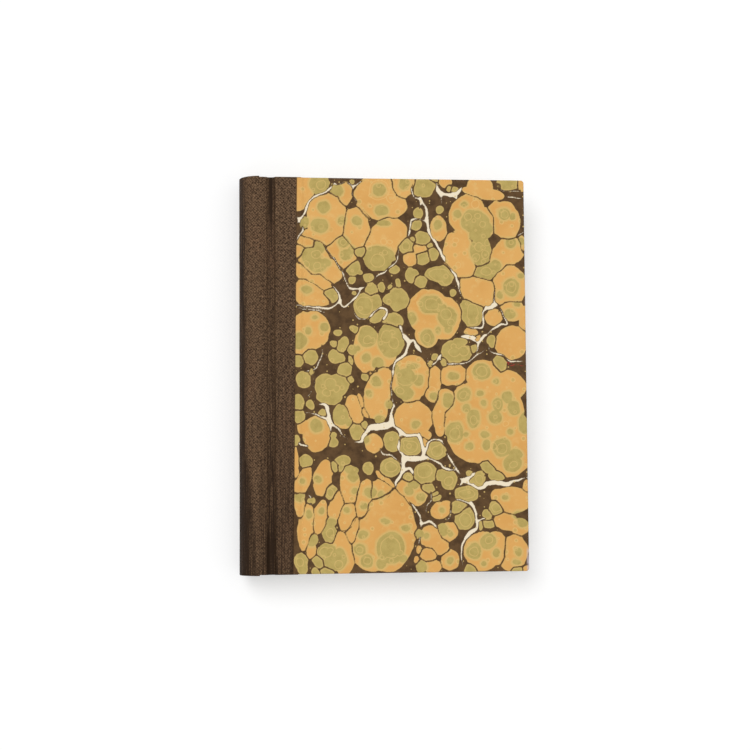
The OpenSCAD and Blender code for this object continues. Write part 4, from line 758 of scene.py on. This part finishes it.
def endpaper(name):
    """Cream endpaper with fibres and faint marks."""
    paint = Paint(name)
    place = paint.place()
    fibre = paint.grain(paint.stretch(place, (900.0, 2600.0, 900.0)), 1.0, 3, 0.6)
    cloud = paint.grain(place, 45, 4, 0.6)
    base = paint.mix(tone("page"), tone("page_dark"), fibre.rise(0.55, 0.8) * 0.2)
    base = paint.mix(base, tone("page_dark"), cloud.rise(0.5, 0.8) * 0.3)
    return paint.surface(base, 0.78 + cloud * 0.1, fibre, 0.015, specular=0.3)


def grey_board(name):
    """Pressed grey board with dark and pale flecks."""
    paint = Paint(name)
    place = paint.place()
    fleck = paint.grain(place, 1400, 3, 0.7)
    layer = paint.grain(paint.stretch(place, (60.0, 60.0, 4000.0)), 1.0, 2, 0.6)
    base = paint.mix(tone("board"), tone("kraft"), fleck.rise(0.5, 0.75) * 0.5)
    base = paint.mix(base, tone("page_dark"), layer.rise(0.55, 0.75) * 0.3)
    return paint.surface(base, 0.9, fleck + layer, 0.04, specular=0.2)


def kraft_paper(name):
    """Brown lining paper with long fibres."""
    paint = Paint(name)
    place = paint.place()
    fibre = paint.grain(paint.stretch(place, (2500.0, 500.0, 2500.0)), 1.0, 3, 0.65)
    base = paint.mix(tone("kraft"), tone("page_dark"), fibre.rise(0.45, 0.75) * 0.4)
    return paint.surface(base, 0.8, fibre, 0.02, specular=0.25)


def open_mull(name):
    """Open cotton weave, stiff with glue, on Object coordinates along and across the spine."""
    paint = Paint(name)
    along, across = paint.split(paint.place())[1:]
    lines = abs((along * (math.pi / 0.0014)).sine()).most(abs((across * (math.pi / 0.0014)).sine()))
    base = paint.mix(tone("page_dark"), tone("page"), lines.rise(0.7, 0.95))
    return paint.surface(base, 0.85, lines, 0.1, specular=0.2)


def headband_silk(name):
    """Two colours of thread wound side by side over the bead."""
    paint = Paint(name)
    up = paint.split(paint.place())[2]
    wound = (up * (2 * math.pi / 0.0016)).sine()
    strand = abs((up * (2 * math.pi / 0.0004)).sine())
    base = paint.mix(tone("band"), tone("band_dark"), wound.rise(-0.15, 0.15))
    return paint.surface(base, 0.55, strand, 0.08, specular=0.4)


def oval_edge(x, y, oval):
    """Distance past an oval's edge, measured from its centre; negative inside."""
    centre_x, centre_y, half_w, half_h, lean = oval[1:]
    turn_c, turn_s = math.cos(math.radians(lean)), math.sin(math.radians(lean))
    nudge = 1e-4
    right = turn_c * (x - centre_x) + turn_s * (y - centre_y) + nudge
    up = turn_c * (y - centre_y) - turn_s * (x - centre_x) + nudge
    far = np.hypot(right, up)
    return far - far / np.hypot(right / half_w, up / half_h)


def drop_fields(x, y, gap):
    """Edges of the ochre drops, of the olive that ran into them, and of the olive drops.
    A drop swells where its neighbour is close, and stops half a gap before it meets it."""
    edges, tints, groups = [], [], []
    for drop in DROPS:
        parts = {shade: np.full(x.shape, FAR_AWAY) for shade in (OCHRE, OLIVE)}
        for oval in drop:
            parts[oval[0]] = np.minimum(parts[oval[0]], oval_edge(x, y, oval))
        edges.append(np.minimum(parts[OCHRE], parts[OLIVE]))
        tints.append(np.minimum(parts[OLIVE], NO_OLIVE))
        groups.append(OCHRE if any(oval[0] == OCHRE for oval in drop) else OLIVE)
    edges, tints, groups = np.array(edges), np.array(tints), np.array(groups)
    places = np.arange(x.size)
    nearest = np.argpartition(edges, 1, axis=0)[:2]
    closer = edges[nearest[0], places] <= edges[nearest[1], places]
    first, second = np.where(closer, nearest, nearest[::-1])
    found = {}
    for group in (OCHRE, OLIVE):
        rows = np.flatnonzero(groups == group)
        best = rows[np.argmin(edges[rows], axis=0)]
        rival = np.where(best == first, second, first)
        own, other = edges[best, places], edges[rival, places]
        room = np.clip((SWELL_STARTS - own - other) / (SWELL_STARTS - SWELL_FULL), 0, 1)
        swell = np.maximum(own + other, 0) / 2 * room * room * (3 - 2 * room)
        found[group] = (np.maximum(own - swell, (own - other) / 2 + gap / 2), tints[best, places])
    return found[OCHRE][0], found[OCHRE][1], found[OLIVE][0]


def round_field(x, y, rounds):
    """Distance past the edge of the nearest upright oval of a list."""
    return np.min([oval_edge(x, y, (OLIVE, *oval, 0)) for oval in rounds], axis=0)


def smooth_run(points, steps=4):
    """A curve through the points, as close points."""
    held = [points[0], *points, points[-1]]
    run = []
    for a, b, c, d in zip(held, held[1:], held[2:], held[3:]):
        for i in range(steps):
            t = i / steps
            run.append([0.5 * (2 * q + (r - p) * t + (2 * p - 5 * q + 4 * r - s) * t * t
                               + (3 * q - p - 3 * r + s) * t ** 3) for p, q, r, s in zip(a, b, c, d)])
    return run + [list(points[-1])]


def line_field(x, y, lines, pool):
    """Distance past the edge of the nearest line, which swells and thins and tapers to its ends.
    Where two lines come closer than the pool's width, their colour runs together."""
    found = np.full(x.shape, FAR_AWAY)
    for row, (width, *points) in enumerate(lines):
        run = smooth_run(points)
        own = np.full(x.shape, FAR_AWAY)
        for i, (start, end) in enumerate(zip(run, run[1:])):
            way = np.subtract(end, start)
            share = ((x - start[0]) * way[0] + (y - start[1]) * way[1]) / way.dot(way)
            share = np.clip(share, 0, 1)
            far = np.hypot(x - start[0] - share * way[0], y - start[1] - share * way[1])
            along = (i + share) / (len(run) - 1)
            taper = np.clip(TAPER_RATE * np.minimum(along, 1 - along), TAPER_LEAST, 1) ** TAPER_POWER
            place = Vector((start[0] / VEIN_WANDER, start[1] / VEIN_WANDER, row))
            swell = 0.85 + 0.45 * noise.noise(place)
            own = np.minimum(own, far - width / 2 * taper * swell)
        near = np.clip(0.5 + 0.5 * (found - own) / pool, 0, 1)
        found = found + (own - found) * near - pool * near * (1 - near)
    return found


def paper_edge(y, size):
    """X of the marbled paper's edge on the cloth, which was cut slightly askew."""
    share = 0.5 + y / (2 * HALF_H)
    return CLOTH_START + size["cloth_tail"] + (size["cloth_head"] - size["cloth_tail"]) * share


def new_layer(bm, name):
    return bm.verts.layers.float_vector.new(name)


def step_out(bm, edges, move):
    """Extrudes the edges once, moves each new point, and returns the new edges."""
    made = bmesh.ops.extrude_edge_only(bm, edges=edges)["geom"]
    new = {part for part in made if isinstance(part, bmesh.types.BMVert)}
    for vert in new:
        move(vert)
    return list({edge for vert in new for edge in vert.link_edges if all(end in new for end in edge.verts)})


def finish_piece(bm, name, material, over):
    """Turns a bmesh in millimetres into a finished object; over says that it lies on the back cover."""
    if over:
        for vert in bm.verts:
            vert.co.z = 2 * MIDDLE_Z - vert.co.z
        bmesh.ops.reverse_faces(bm, faces=bm.faces)
    bmesh.ops.scale(bm, vec=(MM, MM, MM), verts=bm.verts)
    for face in bm.faces:
        face.smooth = True
    mesh = bpy.data.meshes.new(name)
    bm.to_mesh(mesh)
    bm.free()
    piece = bpy.data.objects.new(name, mesh)
    bpy.context.scene.collection.objects.link(piece)
    mesh.materials.append(material)
    return piece


def outward(point, size):
    """Direction out of a board's rounded outline, in plan, at a point near its edge."""
    out_x = max(point.x - (BOARD_HIGH.x - size["corner"]), 0.0)
    beyond = max(abs(point.y) - (HALF_H - size["corner"]), 0.0)
    way = Vector((out_x, math.copysign(beyond, point.y), 0.0))
    return way.normalized() if way.length > 0 else way


def lay_grid(bm, size, face_z, lap_z):
    """Lays the grid on the cover's face, with its askew edge, its step over the cloth and round corners."""
    inner_x = BOARD_HIGH.x + size["paper"] - size["fold"]
    inner_y = HALF_H + size["paper"] - size["fold"]
    inner_r = size["corner"] + size["paper"] - size["fold"]
    slope = 1.4
    for vert in bm.verts:
        y = vert.co.y * inner_y
        start = paper_edge(y, size)
        x = start + (vert.co.x + 1) / 2 * (inner_x - start)
        down = min(max((x - start - size["lap"]) / slope, 0.0), 1.0)
        down = down * down * (3 - 2 * down)
        past_x = x - (inner_x - inner_r)
        past_y = abs(y) - (inner_y - inner_r)
        if past_x > 0 and past_y > 0:
            pull = max(past_x, past_y) / math.hypot(past_x, past_y)
            x += past_x * (pull - 1)
            y = math.copysign(inner_y - inner_r + past_y * pull, y)
        vert.co = (x, y, lap_z + (face_z - lap_z) * down)


def wrap_edges(bm, size, flat, inside_z):
    """Folds the sheet over the board's three open edges and turns it in on the inside."""
    fold = size["fold"]
    first = [edge for edge in bm.edges if edge.is_boundary
             and not all(vert.co.x - paper_edge(vert.co.y, size) < 0.01 for vert in edge.verts)]
    lap_side = [edge for edge in bm.edges if edge.is_boundary and edge not in first]

    def bend(radial, drop, run):
        def move(vert):
            way = outward(vert.co, size)
            vert.co += way * radial
            vert.co.z -= drop
            vert[flat] += way * run
        return move

    steps = 3
    turns = [math.radians(90 * i / steps) for i in range(steps + 1)]
    arc = fold * math.radians(90 / steps)
    edges = first
    for a, b in zip(turns, turns[1:]):
        edges = step_out(bm, edges, bend(fold * (math.sin(b) - math.sin(a)),
                                         fold * (math.cos(a) - math.cos(b)), arc))
    tall = BOARD_HIGH.z - BOARD_LOW.z + 2 * size["paper"] - 2 * fold
    edges = step_out(bm, edges, bend(0, tall, tall))
    for a, b in zip(turns, turns[1:]):
        edges = step_out(bm, edges, bend(fold * (math.cos(b) - math.cos(a)),
                                         fold * (math.sin(b) - math.sin(a)), arc))

    def turn(vert):
        before = vert.co.copy()
        vert.co.x = min(vert.co.x, BOARD_HIGH.x - size["turn_in"])
        vert.co.y = min(max(vert.co.y, -HALF_H + size["turn_in"]), HALF_H - size["turn_in"])
        vert.co.z = inside_z
        vert[flat] += (before - vert.co) * -1
    step_out(bm, edges, turn)

    def drop_to_cloth(vert):
        vert.co.z -= size["paper"]
    step_out(bm, lap_side, drop_to_cloth)


def marbled_side(name, over, material):
    """The marbled paper of one cover: a fine grid with the marbling's fields, folded round the board."""
    size = sizes()
    face_z = BOARD_HIGH.z + size["paper"]
    bm = bmesh.new()
    step = size["back_step" if over else "front_step"]
    across = round((BOARD_HIGH.x - CLOTH_START - size["cloth_tail"]) / step)
    along = round(2 * HALF_H / step)
    bmesh.ops.create_grid(bm, x_segments=across, y_segments=along, size=1)
    lay_grid(bm, size, face_z, PAPER_HIGH.z)
    flat = new_layer(bm, "flat")
    for vert in bm.verts:
        vert[flat] = (vert.co.x, vert.co.y, 0)
    wrap_edges(bm, size, flat, BOARD_LOW.z - size["paper"])
    fill_fields(bm, size)
    return finish_piece(bm, name, material, over)


def share_of(value, start, run):
    """How far a value is from its start along a run, from 0 to 1."""
    return min(max((value - start) / run, 0), 1)


def fill_fields(bm, size):
    """Works out the marbling's fields at every point of the sheet and keeps them as attributes.
    Past the board's edges the marbling goes on as its own mirror image."""
    layers = {name: new_layer(bm, name) for name in ("drops", "veins", "rings", "wear_and_shade")}
    flat = bm.verts.layers.float_vector["flat"]
    spots = np.array([vert[flat].to_tuple() for vert in bm.verts])
    swirls = [noise.noise_vector(vert[flat] / SWIRL_WIDE)
              + 0.5 * noise.noise_vector(vert[flat] / SWIRL_FINE + SWIRL_APART) for vert in bm.verts]
    swirls = np.array([swirl.to_tuple() for swirl in swirls]) * size["swirl"]
    x, y = spots[:, 0], spots[:, 1]
    x = BOARD_HIGH.x - np.abs(BOARD_HIGH.x - x) + swirls[:, 0]
    y = np.sign(y) * (HALF_H - np.abs(HALF_H - np.abs(y))) + swirls[:, 1]
    ochre_edge, inner_olive, olive_edge = drop_fields(x, y, size["drop_gap"])
    spot_edge, ring_edge = round_field(x, y, SPOTS), round_field(x, y, RINGS)
    vein_edge, crack_edge = line_field(x, y, VEINS, VEIN_POOL), line_field(x, y, CRACKS, LINE_POOL)
    red_edge = line_field(x, y, REDS, LINE_POOL)
    push = np.maximum(np.minimum(VEIN_MARGIN - vein_edge, OCHRE_PUSH), -crack_edge)
    ochre_edge = np.maximum(ochre_edge, np.minimum(push, ochre_edge + OCHRE_PUSH))
    olive_edge = np.maximum(olive_edge, np.minimum(push, olive_edge + OLIVE_PUSH))
    drops = zip(ochre_edge, inner_olive, olive_edge)
    lines = zip(spot_edge, vein_edge)
    marks = zip(ring_edge, red_edge)
    for vert, drop, line, mark in zip(bm.verts, drops, lines, marks):
        here = vert[flat]
        cloth_side = here.x - paper_edge(min(max(here.y, -HALF_H), HALF_H), size)
        rim = min(BOARD_HIGH.x - here.x, HALF_H - abs(here.y))
        # Painted shade towards the tail, from 0 at the head to 1 at the tail, kept with the rubbed edges and
        # the worn corner
        tail = min(max(0.5 - here.y / (2 * HALF_H), 0), 1)
        corner = share_of(here.x, WORN_X, WORN_X_RUN) * share_of(-here.y, -WORN_Y, WORN_Y_RUN)
        vert[layers["drops"]] = drop
        vert[layers["veins"]] = (*line, cloth_side)
        vert[layers["rings"]] = (*mark, 0)
        vert[layers["wear_and_shade"]] = (abs(rim), tail, corner)


def arc_points(centre, radius, start, end, steps):
    """Points of an arc in X and Z, from one angle to another in degrees."""
    angles = [math.radians(start + (end - start) * i / steps) for i in range(steps + 1)]
    return [(centre[0] + radius * math.cos(a), centre[1] + radius * math.sin(a)) for a in angles]


def bend_points(start, handle_a, handle_b, end, steps):
    """Points of one Bezier stretch in X and Z, without its first point."""
    points = []
    for i in range(1, steps + 1):
        t = i / steps
        weights = ((1 - t) ** 3, 3 * t * (1 - t) ** 2, 3 * t * t * (1 - t), t ** 3)
        points.append(tuple(sum(w * p[k] for w, p in zip(weights, (start, handle_a, handle_b, end)))
                            for k in (0, 1)))
    return points


def sweep(bm, profile, rows, flat, flat_start):
    """Extrudes a profile in X and Z along the rows of Y, and keeps its unfolded length."""
    run = flat_start
    verts = []
    for i, (x, z) in enumerate(profile):
        run += math.dist(profile[i - 1], (x, z)) if i else 0
        verts.append(bm.verts.new((x, rows[0], z)))
        verts[-1][flat] = (run, rows[0], 1)
    edges = [bm.edges.new(pair) for pair in zip(verts, verts[1:])]
    for y in rows[1:]:
        def move(vert):
            vert.co.y = y
            vert[flat].y = y
        edges = step_out(bm, edges, move)


def ends_of(bm, y):
    """The open edges that lie at one Y."""
    return [edge for edge in bm.edges
            if edge.is_boundary and all(abs(vert.co.y - y) < 1e-4 for vert in edge.verts)]


def spread(low, high, count):
    return [low + (high - low) * i / count for i in range(count + 1)]


def painted_light_along(along):
    """Painted light along the cloth: brighter towards the head, at 1, and darker towards the tail, at -1."""
    return 0.88 + 0.12 * min(along, 0.5) - 0.2 * max(-along - 0.3, 0)


def squared(value):
    """Turns a circle's sine or cosine into that of a rounded square."""
    power, tiny = 0.45, 1e-9
    return math.copysign(abs(value) ** power, value) if abs(value) > tiny else 0.0


def spine_covering(material):
    """Cloth round the spine's card, from shoulder to shoulder, turned in over a full cap at each end."""
    size = sizes()
    bm = bmesh.new()
    flat = new_layer(bm, "flat")
    centre = (SPINE_X, MIDDLE_Z)
    profile = arc_points(centre, SPINE_R, 360 - END_ANGLE + END_OVERLAP, END_ANGLE - END_OVERLAP, 72)
    cap = size["cap"]
    dent_deep = 0.16
    shoulder_w, shoulder_drop = 3.5, 0.4
    shadow_w, tail_shadow_w, shadow_dark = 3.3, 3.3, 0.75
    straight = SPINE_HIGH.y - cap
    rows = spread(-straight, straight, 60)
    sweep(bm, profile, rows, flat, 0)
    for vert in bm.verts:
        way = Vector((vert.co.x - SPINE_X, 0, vert.co.z - MIDDLE_Z)).normalized()
        dent = noise.noise(Vector((vert.co.x / 6, vert.co.y / 26, vert.co.z / 6)))
        vert.co -= way * (dent_deep * (0.5 + 0.5 * dent))
        along = vert.co.y / HALF_H
        beside = min(max(1 - (CARD_END[0] - vert.co.x) / shoulder_w, 0), 1)
        vert.co.y *= 1 - shoulder_drop * beside * beside / HALF_H
        # Painted shade: the cloth darkens towards the spine's outer rounded edge, over a wider band at the
        # tail, on top of the painted light from head to tail; both are kept in the flat attribute's third
        # value
        dark_w = shadow_w + tail_shadow_w * min(max(-along * 2.5 - 1.0, 0), 1)
        inside = min(max((vert.co.x - SPINE_LOW.x - 0.4 * dark_w) / (1.1 * dark_w), 0), 1)
        vert[flat].z = painted_light_along(along) - shadow_dark * (1 - inside * inside * (3 - 2 * inside))
    for end in (-1, 1):
        edges = ends_of(bm, end * straight)
        steps = 6
        for i in range(1, steps + 1):
            before, now = (math.radians(180 * j / steps) for j in (i - 1, i))

            def roll(vert):
                way = Vector((vert.co.x - SPINE_X, 0, vert.co.z - MIDDLE_Z)).normalized()
                vert.co -= way * cap * (squared(math.cos(before)) - squared(math.cos(now)))
                vert.co.y += end * cap * (squared(math.sin(now)) - squared(math.sin(before)))
                vert[flat].y += end * cap * math.radians(180 / steps)
            edges = step_out(bm, edges, roll)

        def turn_in(vert):
            vert.co.y -= end * size["turn_in"]
            vert[flat].y += end * size["turn_in"]
        step_out(bm, edges, turn_in)
    bmesh.ops.recalc_face_normals(bm, faces=bm.faces)
    return finish_piece(bm, "spine_covering", material, False)


def joint_profile(size):
    """The cloth's outer side from the spine's shoulder across the groove and up onto the board."""
    groove_x = (CARD_END[0] + WRAP_R + CLOTH_START) / 2
    floor_z = CARD_END[1] - 0.4
    corner_r = 0.9
    face_z = CLOTH_HIGH.z
    points = arc_points((SPINE_X, MIDDLE_Z), SPINE_R, END_ANGLE + SHOULDER_ANGLE, END_ANGLE, 8)
    points += arc_points(CARD_END, WRAP_R, END_ANGLE, 28, 5)[1:]
    side = points[-1]
    points += bend_points(side, (side[0] + 0.35, side[1] - 0.6), (groove_x - 0.8, floor_z),
                          (groove_x, floor_z), 8)
    wall = (CLOTH_START, face_z - corner_r)
    points += bend_points((groove_x, floor_z), (groove_x + 0.9, floor_z),
                          (wall[0] - 0.3, wall[1] - 0.7), wall, 8)
    points += arc_points((CLOTH_START + corner_r, face_z - corner_r), corner_r, 180, 90, 8)[1:]
    flat_x = points[-1][0]
    reach = paper_edge(0, size) + size["lap"] - 0.3
    points += [(x, face_z) for x in spread(flat_x, reach, 12)[1:]]
    return points, groove_x, floor_z, flat_x, reach


def joint_covering(name, over, material):
    """Cloth of one cover's joint: over the spine's shoulder, through the groove and onto the board."""
    size = sizes()
    bm = bmesh.new()
    flat = new_layer(bm, "flat")
    profile, groove_x, floor_z, flat_x, reach = joint_profile(size)
    round_spine = math.radians(360 - 2 * END_ANGLE + 2 * END_OVERLAP) * SPINE_R
    shoulder = round_spine - math.radians(SHOULDER_ANGLE + END_OVERLAP) * SPINE_R
    fold = 0.35
    under_paper = 0.3
    dent_deep = 0.1
    shadow_aside, shadow_w, shadow_dark = 0.3, 0.85 * size["joint"], 0.5
    straight = HALF_H + size["cloth"] - fold
    rows = spread(-straight, straight, 72)
    sweep(bm, profile, rows, flat, shoulder)
    for vert in bm.verts:
        along = vert.co.y / HALF_H
        if vert.co.x > flat_x:
            edge = paper_edge(vert.co.y, size) + size["lap"] - under_paper
            vert.co.x = flat_x + (vert.co.x - flat_x) * (edge - flat_x) / (reach - flat_x)
        wider = 1 + 0.35 * min(max(-along * 3 - 1.6, 0), 1)
        window = max(1 - abs(vert.co.x - groove_x) / (size["joint"] / 2 * wider), 0)
        rise = size["groove_rise"] * max(1 - along * along * 1.2, 0) * window * window * (3 - 2 * window)
        dent = dent_deep * noise.noise(Vector((vert.co.x / 5, vert.co.y / 14, 3)))
        if vert.co.z < CLOTH_HIGH.z - 0.05 and window > 0:
            vert.co.z += rise + dent * window
        # Painted shadow in the groove, darker towards head and tail, and painted light from head to tail,
        # kept in the flat attribute's third value
        shadow = max(1 - abs(vert.co.x - groove_x - shadow_aside) / shadow_w, 0)
        shadow = shadow * shadow * (3 - 2 * shadow)
        shadow *= shadow_dark * (0.45 + 0.75 * along * along)
        vert[flat].z = painted_light_along(along) * (0.9 + 0.1 * along) - shadow
    for end in (-1, 1):
        edges = ends_of(bm, end * straight)
        steps = 3
        for i in range(1, steps + 1):
            before, now = (math.radians(90 * j / steps) for j in (i - 1, i))

            def roll(vert):
                vert.co.z -= fold * (math.cos(before) - math.cos(now))
                vert.co.y += end * fold * (math.sin(now) - math.sin(before))
                vert[flat].y += end * fold * math.radians(90 / steps)
            edges = step_out(bm, edges, roll)

        def down(vert):
            low = BOARD_LOW.z - size["cloth"] if vert.co.x > CLOTH_START + 0.2 else floor_z - size["cloth"]
            vert[flat].y += end * (vert.co.z - low)
            vert.co.z = low
        edges = step_out(bm, edges, down)

        def turn_in(vert):
            vert.co.y -= end * size["turn_in"]
            vert[flat].y += end * size["turn_in"]
        step_out(bm, edges, turn_in)
    bmesh.ops.recalc_face_normals(bm, faces=bm.faces)
    piece = finish_piece(bm, name, material, over)
    level = 2 * MIDDLE_Z - floor_z if over else floor_z
    half = size["joint"] / 2
    (groove_x - half) * MM
    level * MM
    (groove_x + half) * MM
    level * MM
    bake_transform(piece)
    return piece


class NOTEBOOK_OT_marbled_sides(bpy.types.Operator):
    """Makes the marbled paper of both covers"""
    bl_idname = "notebook.marbled_sides"
    bl_label = "Marbled sides"

    def execute(self, context):
        material = marbled_paper("marbled_paper")
        for side in ("front", "back"):
            piece = marbled_side(side + "_marbled_paper", side == "back", material)
            nodes = [side + "_side_paper", side + "_ochre_drops", side + "_olive_drops"]
            if side == "front":
                nodes.append("front_cream_veins")
            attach(piece, side + "_cover")
            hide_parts(*nodes)
        return {"FINISHED"}


class NOTEBOOK_OT_cloth(bpy.types.Operator):
    """Makes the cloth of the spine and of the two joints"""
    bl_idname = "notebook.cloth"
    bl_label = "Book cloth"

    def execute(self, context):
        material = book_cloth("book_cloth")
        spine = spine_covering(material)
        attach(spine, "book_block")
        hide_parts("spine_cloth")
        for side in ("front", "back"):
            piece = joint_covering(side + "_joint_cloth", side == "back", material)
            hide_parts(side + "_cloth_side")
        return {"FINISHED"}


class NOTEBOOK_OT_block_and_boards(bpy.types.Operator):
    """Gives the pages, linings, bands, card and boards their finishes"""
    bl_idname = "notebook.block_and_boards"
    bl_label = "Pages, linings and boards"

    def execute(self, context):
        finishes = {
            page_edges("page_edges"): ["text_block"],
            endpaper("endpaper"): ["front_flyleaf", "back_flyleaf", "front_pastedown", "back_pastedown"],
            open_mull("mull"): ["mull"],
            kraft_paper("kraft_paper"): ["spine_liner"],
            headband_silk("headband_silk"): ["head_band", "tail_band"],
            grey_board("grey_board"): ["spine_card", "front_board", "back_board"],
        }
        for material, nodes in finishes.items():
            for node in nodes:
                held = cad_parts[node].data
                held.materials.clear()
                held.materials.append(material)
        return {"FINISHED"}


class NOTEBOOK_OT_stage(bpy.types.Operator):
    """Makes the floor, the light and the camera"""
    bl_idname = "notebook.stage"
    bl_label = "Stage"

    def execute(self, context):
        make_floor()
        make_light(context.scene)
        make_camera(context.scene)
        return {"FINISHED"}


def make_floor():
    """A wide white floor that keeps the shadow."""
    bm = bmesh.new()
    bmesh.ops.create_grid(bm, x_segments=1, y_segments=1, size=FLOOR_HALF)
    paint = Paint("floor")
    rays = paint.node("ShaderNodeLightPath", output="Is Camera Ray")
    gloss = paint.node("ShaderNodeLightPath", output="Is Glossy Ray")
    through = paint.node("ShaderNodeLightPath", output="Is Transmission Ray")
    seen = rays.most(gloss).most(through)
    matt = paint.node("ShaderNodeBsdfDiffuse", inputs={"Color": (FLOOR_GREY, FLOOR_GREY, FLOOR_GREY, 1.0)})
    glow = paint.node("ShaderNodeEmission", inputs={"Color": WHITE, "Strength": seen * FLOOR_GLOW})
    both = paint.node("ShaderNodeAddShader", inputs=[matt, glow])
    paint.node("ShaderNodeOutputMaterial", inputs=[both])
    for vert in bm.verts:
        vert.co.z = -FLOOR_DROP
    floor = finish_piece(bm, "floor", paint.material, False)


def make_light(scene):
    """White surroundings, brightest overhead and plain white where they are seen, and one broad lamp
    from the upper left."""
    world = bpy.data.worlds.new("studio")
    scene.world = world
    world.use_nodes = True
    tree = world.node_tree
    background = tree.nodes["Background"]
    background.inputs["Color"].default_value = WHITE
    toward = tree.nodes.new("ShaderNodeTexCoord")
    split = tree.nodes.new("ShaderNodeSeparateXYZ")
    height = tree.nodes.new("ShaderNodeMapRange")
    height.interpolation_type = "SMOOTHSTEP"
    height.inputs["To Min"].default_value = SKY_LOW
    height.inputs["To Max"].default_value = SKY_HIGH
    tree.links.new(toward.outputs["Generated"], split.inputs[0])
    tree.links.new(split.outputs["Z"], height.inputs["Value"])
    rays = tree.nodes.new("ShaderNodeLightPath")
    seen = tree.nodes.new("ShaderNodeMath")
    seen.operation = "MAXIMUM"
    tree.links.new(height.outputs["Result"], seen.inputs[0])
    tree.links.new(rays.outputs["Is Camera Ray"], seen.inputs[1])
    tree.links.new(seen.outputs["Value"], background.inputs["Strength"])
    lamp = bpy.data.lights.new("window", "SUN")
    lamp.energy = LAMP_STRENGTH
    lamp.angle = math.radians(LAMP_ANGLE)
    holder = bpy.data.objects.new("window", lamp)
    scene.collection.objects.link(holder)
    holder.rotation_euler = LAMP_FROM.to_track_quat("Z", "Y").to_euler()
    scene.view_settings.view_transform = "Standard"


def make_camera(scene):
    """The camera above the book, leaning a little from the spine and the tail."""
    camera = bpy.data.cameras.new("camera")
    camera.sensor_width = 36
    camera.lens = CAMERA_LENS
    camera.clip_end = 20
    holder = bpy.data.objects.new("camera", camera)
    scene.collection.objects.link(holder)
    holder.location = CAMERA_PLACE
    lean_x, lean_y, roll = (math.radians(angle) for angle in CAMERA_TURNS)
    turn = Matrix.Rotation(lean_y, 4, "Y") @ Matrix.Rotation(lean_x, 4, "X") @ Matrix.Rotation(roll, 4, "Z")
    holder.rotation_euler = turn.to_euler()
    scene.camera = holder


class NOTEBOOK_PT_panel(bpy.types.Panel):
    """Lists the notebook's pieces, sizes and colours in the sidebar"""
    bl_label = "Marbled notebook"
    bl_idname = "NOTEBOOK_PT_panel"
    bl_space_type = "VIEW_3D"
    bl_region_type = "UI"
    bl_category = "Notebook"

    def draw(self, context):
        for operator in OPERATORS:
            self.layout.operator(operator.bl_idname)
        for group in (context.scene.notebook_sizes, context.scene.notebook_colours):
            column = self.layout.column()
            for name in type(group).__annotations__:
                column.prop(group, name)


OPERATORS = (NOTEBOOK_OT_marbled_sides, NOTEBOOK_OT_cloth, NOTEBOOK_OT_block_and_boards, NOTEBOOK_OT_stage)
CLASSES = (NotebookSizes, NotebookColours, *OPERATORS, NOTEBOOK_PT_panel)


def register():
    for kind in CLASSES:
        bpy.utils.register_class(kind)
    bpy.types.Scene.notebook_sizes = bpy.props.PointerProperty(type=NotebookSizes)
    bpy.types.Scene.notebook_colours = bpy.props.PointerProperty(type=NotebookColours)


def unregister():
    del bpy.types.Scene.notebook_colours
    del bpy.types.Scene.notebook_sizes
    for kind in reversed(CLASSES):
        bpy.utils.unregister_class(kind)


def main():
    register()
    bpy.ops.notebook.marbled_sides()
    bpy.ops.notebook.cloth()
    bpy.ops.notebook.block_and_boards()
    bpy.ops.notebook.stage()


if __name__ == "__main__":
    main()
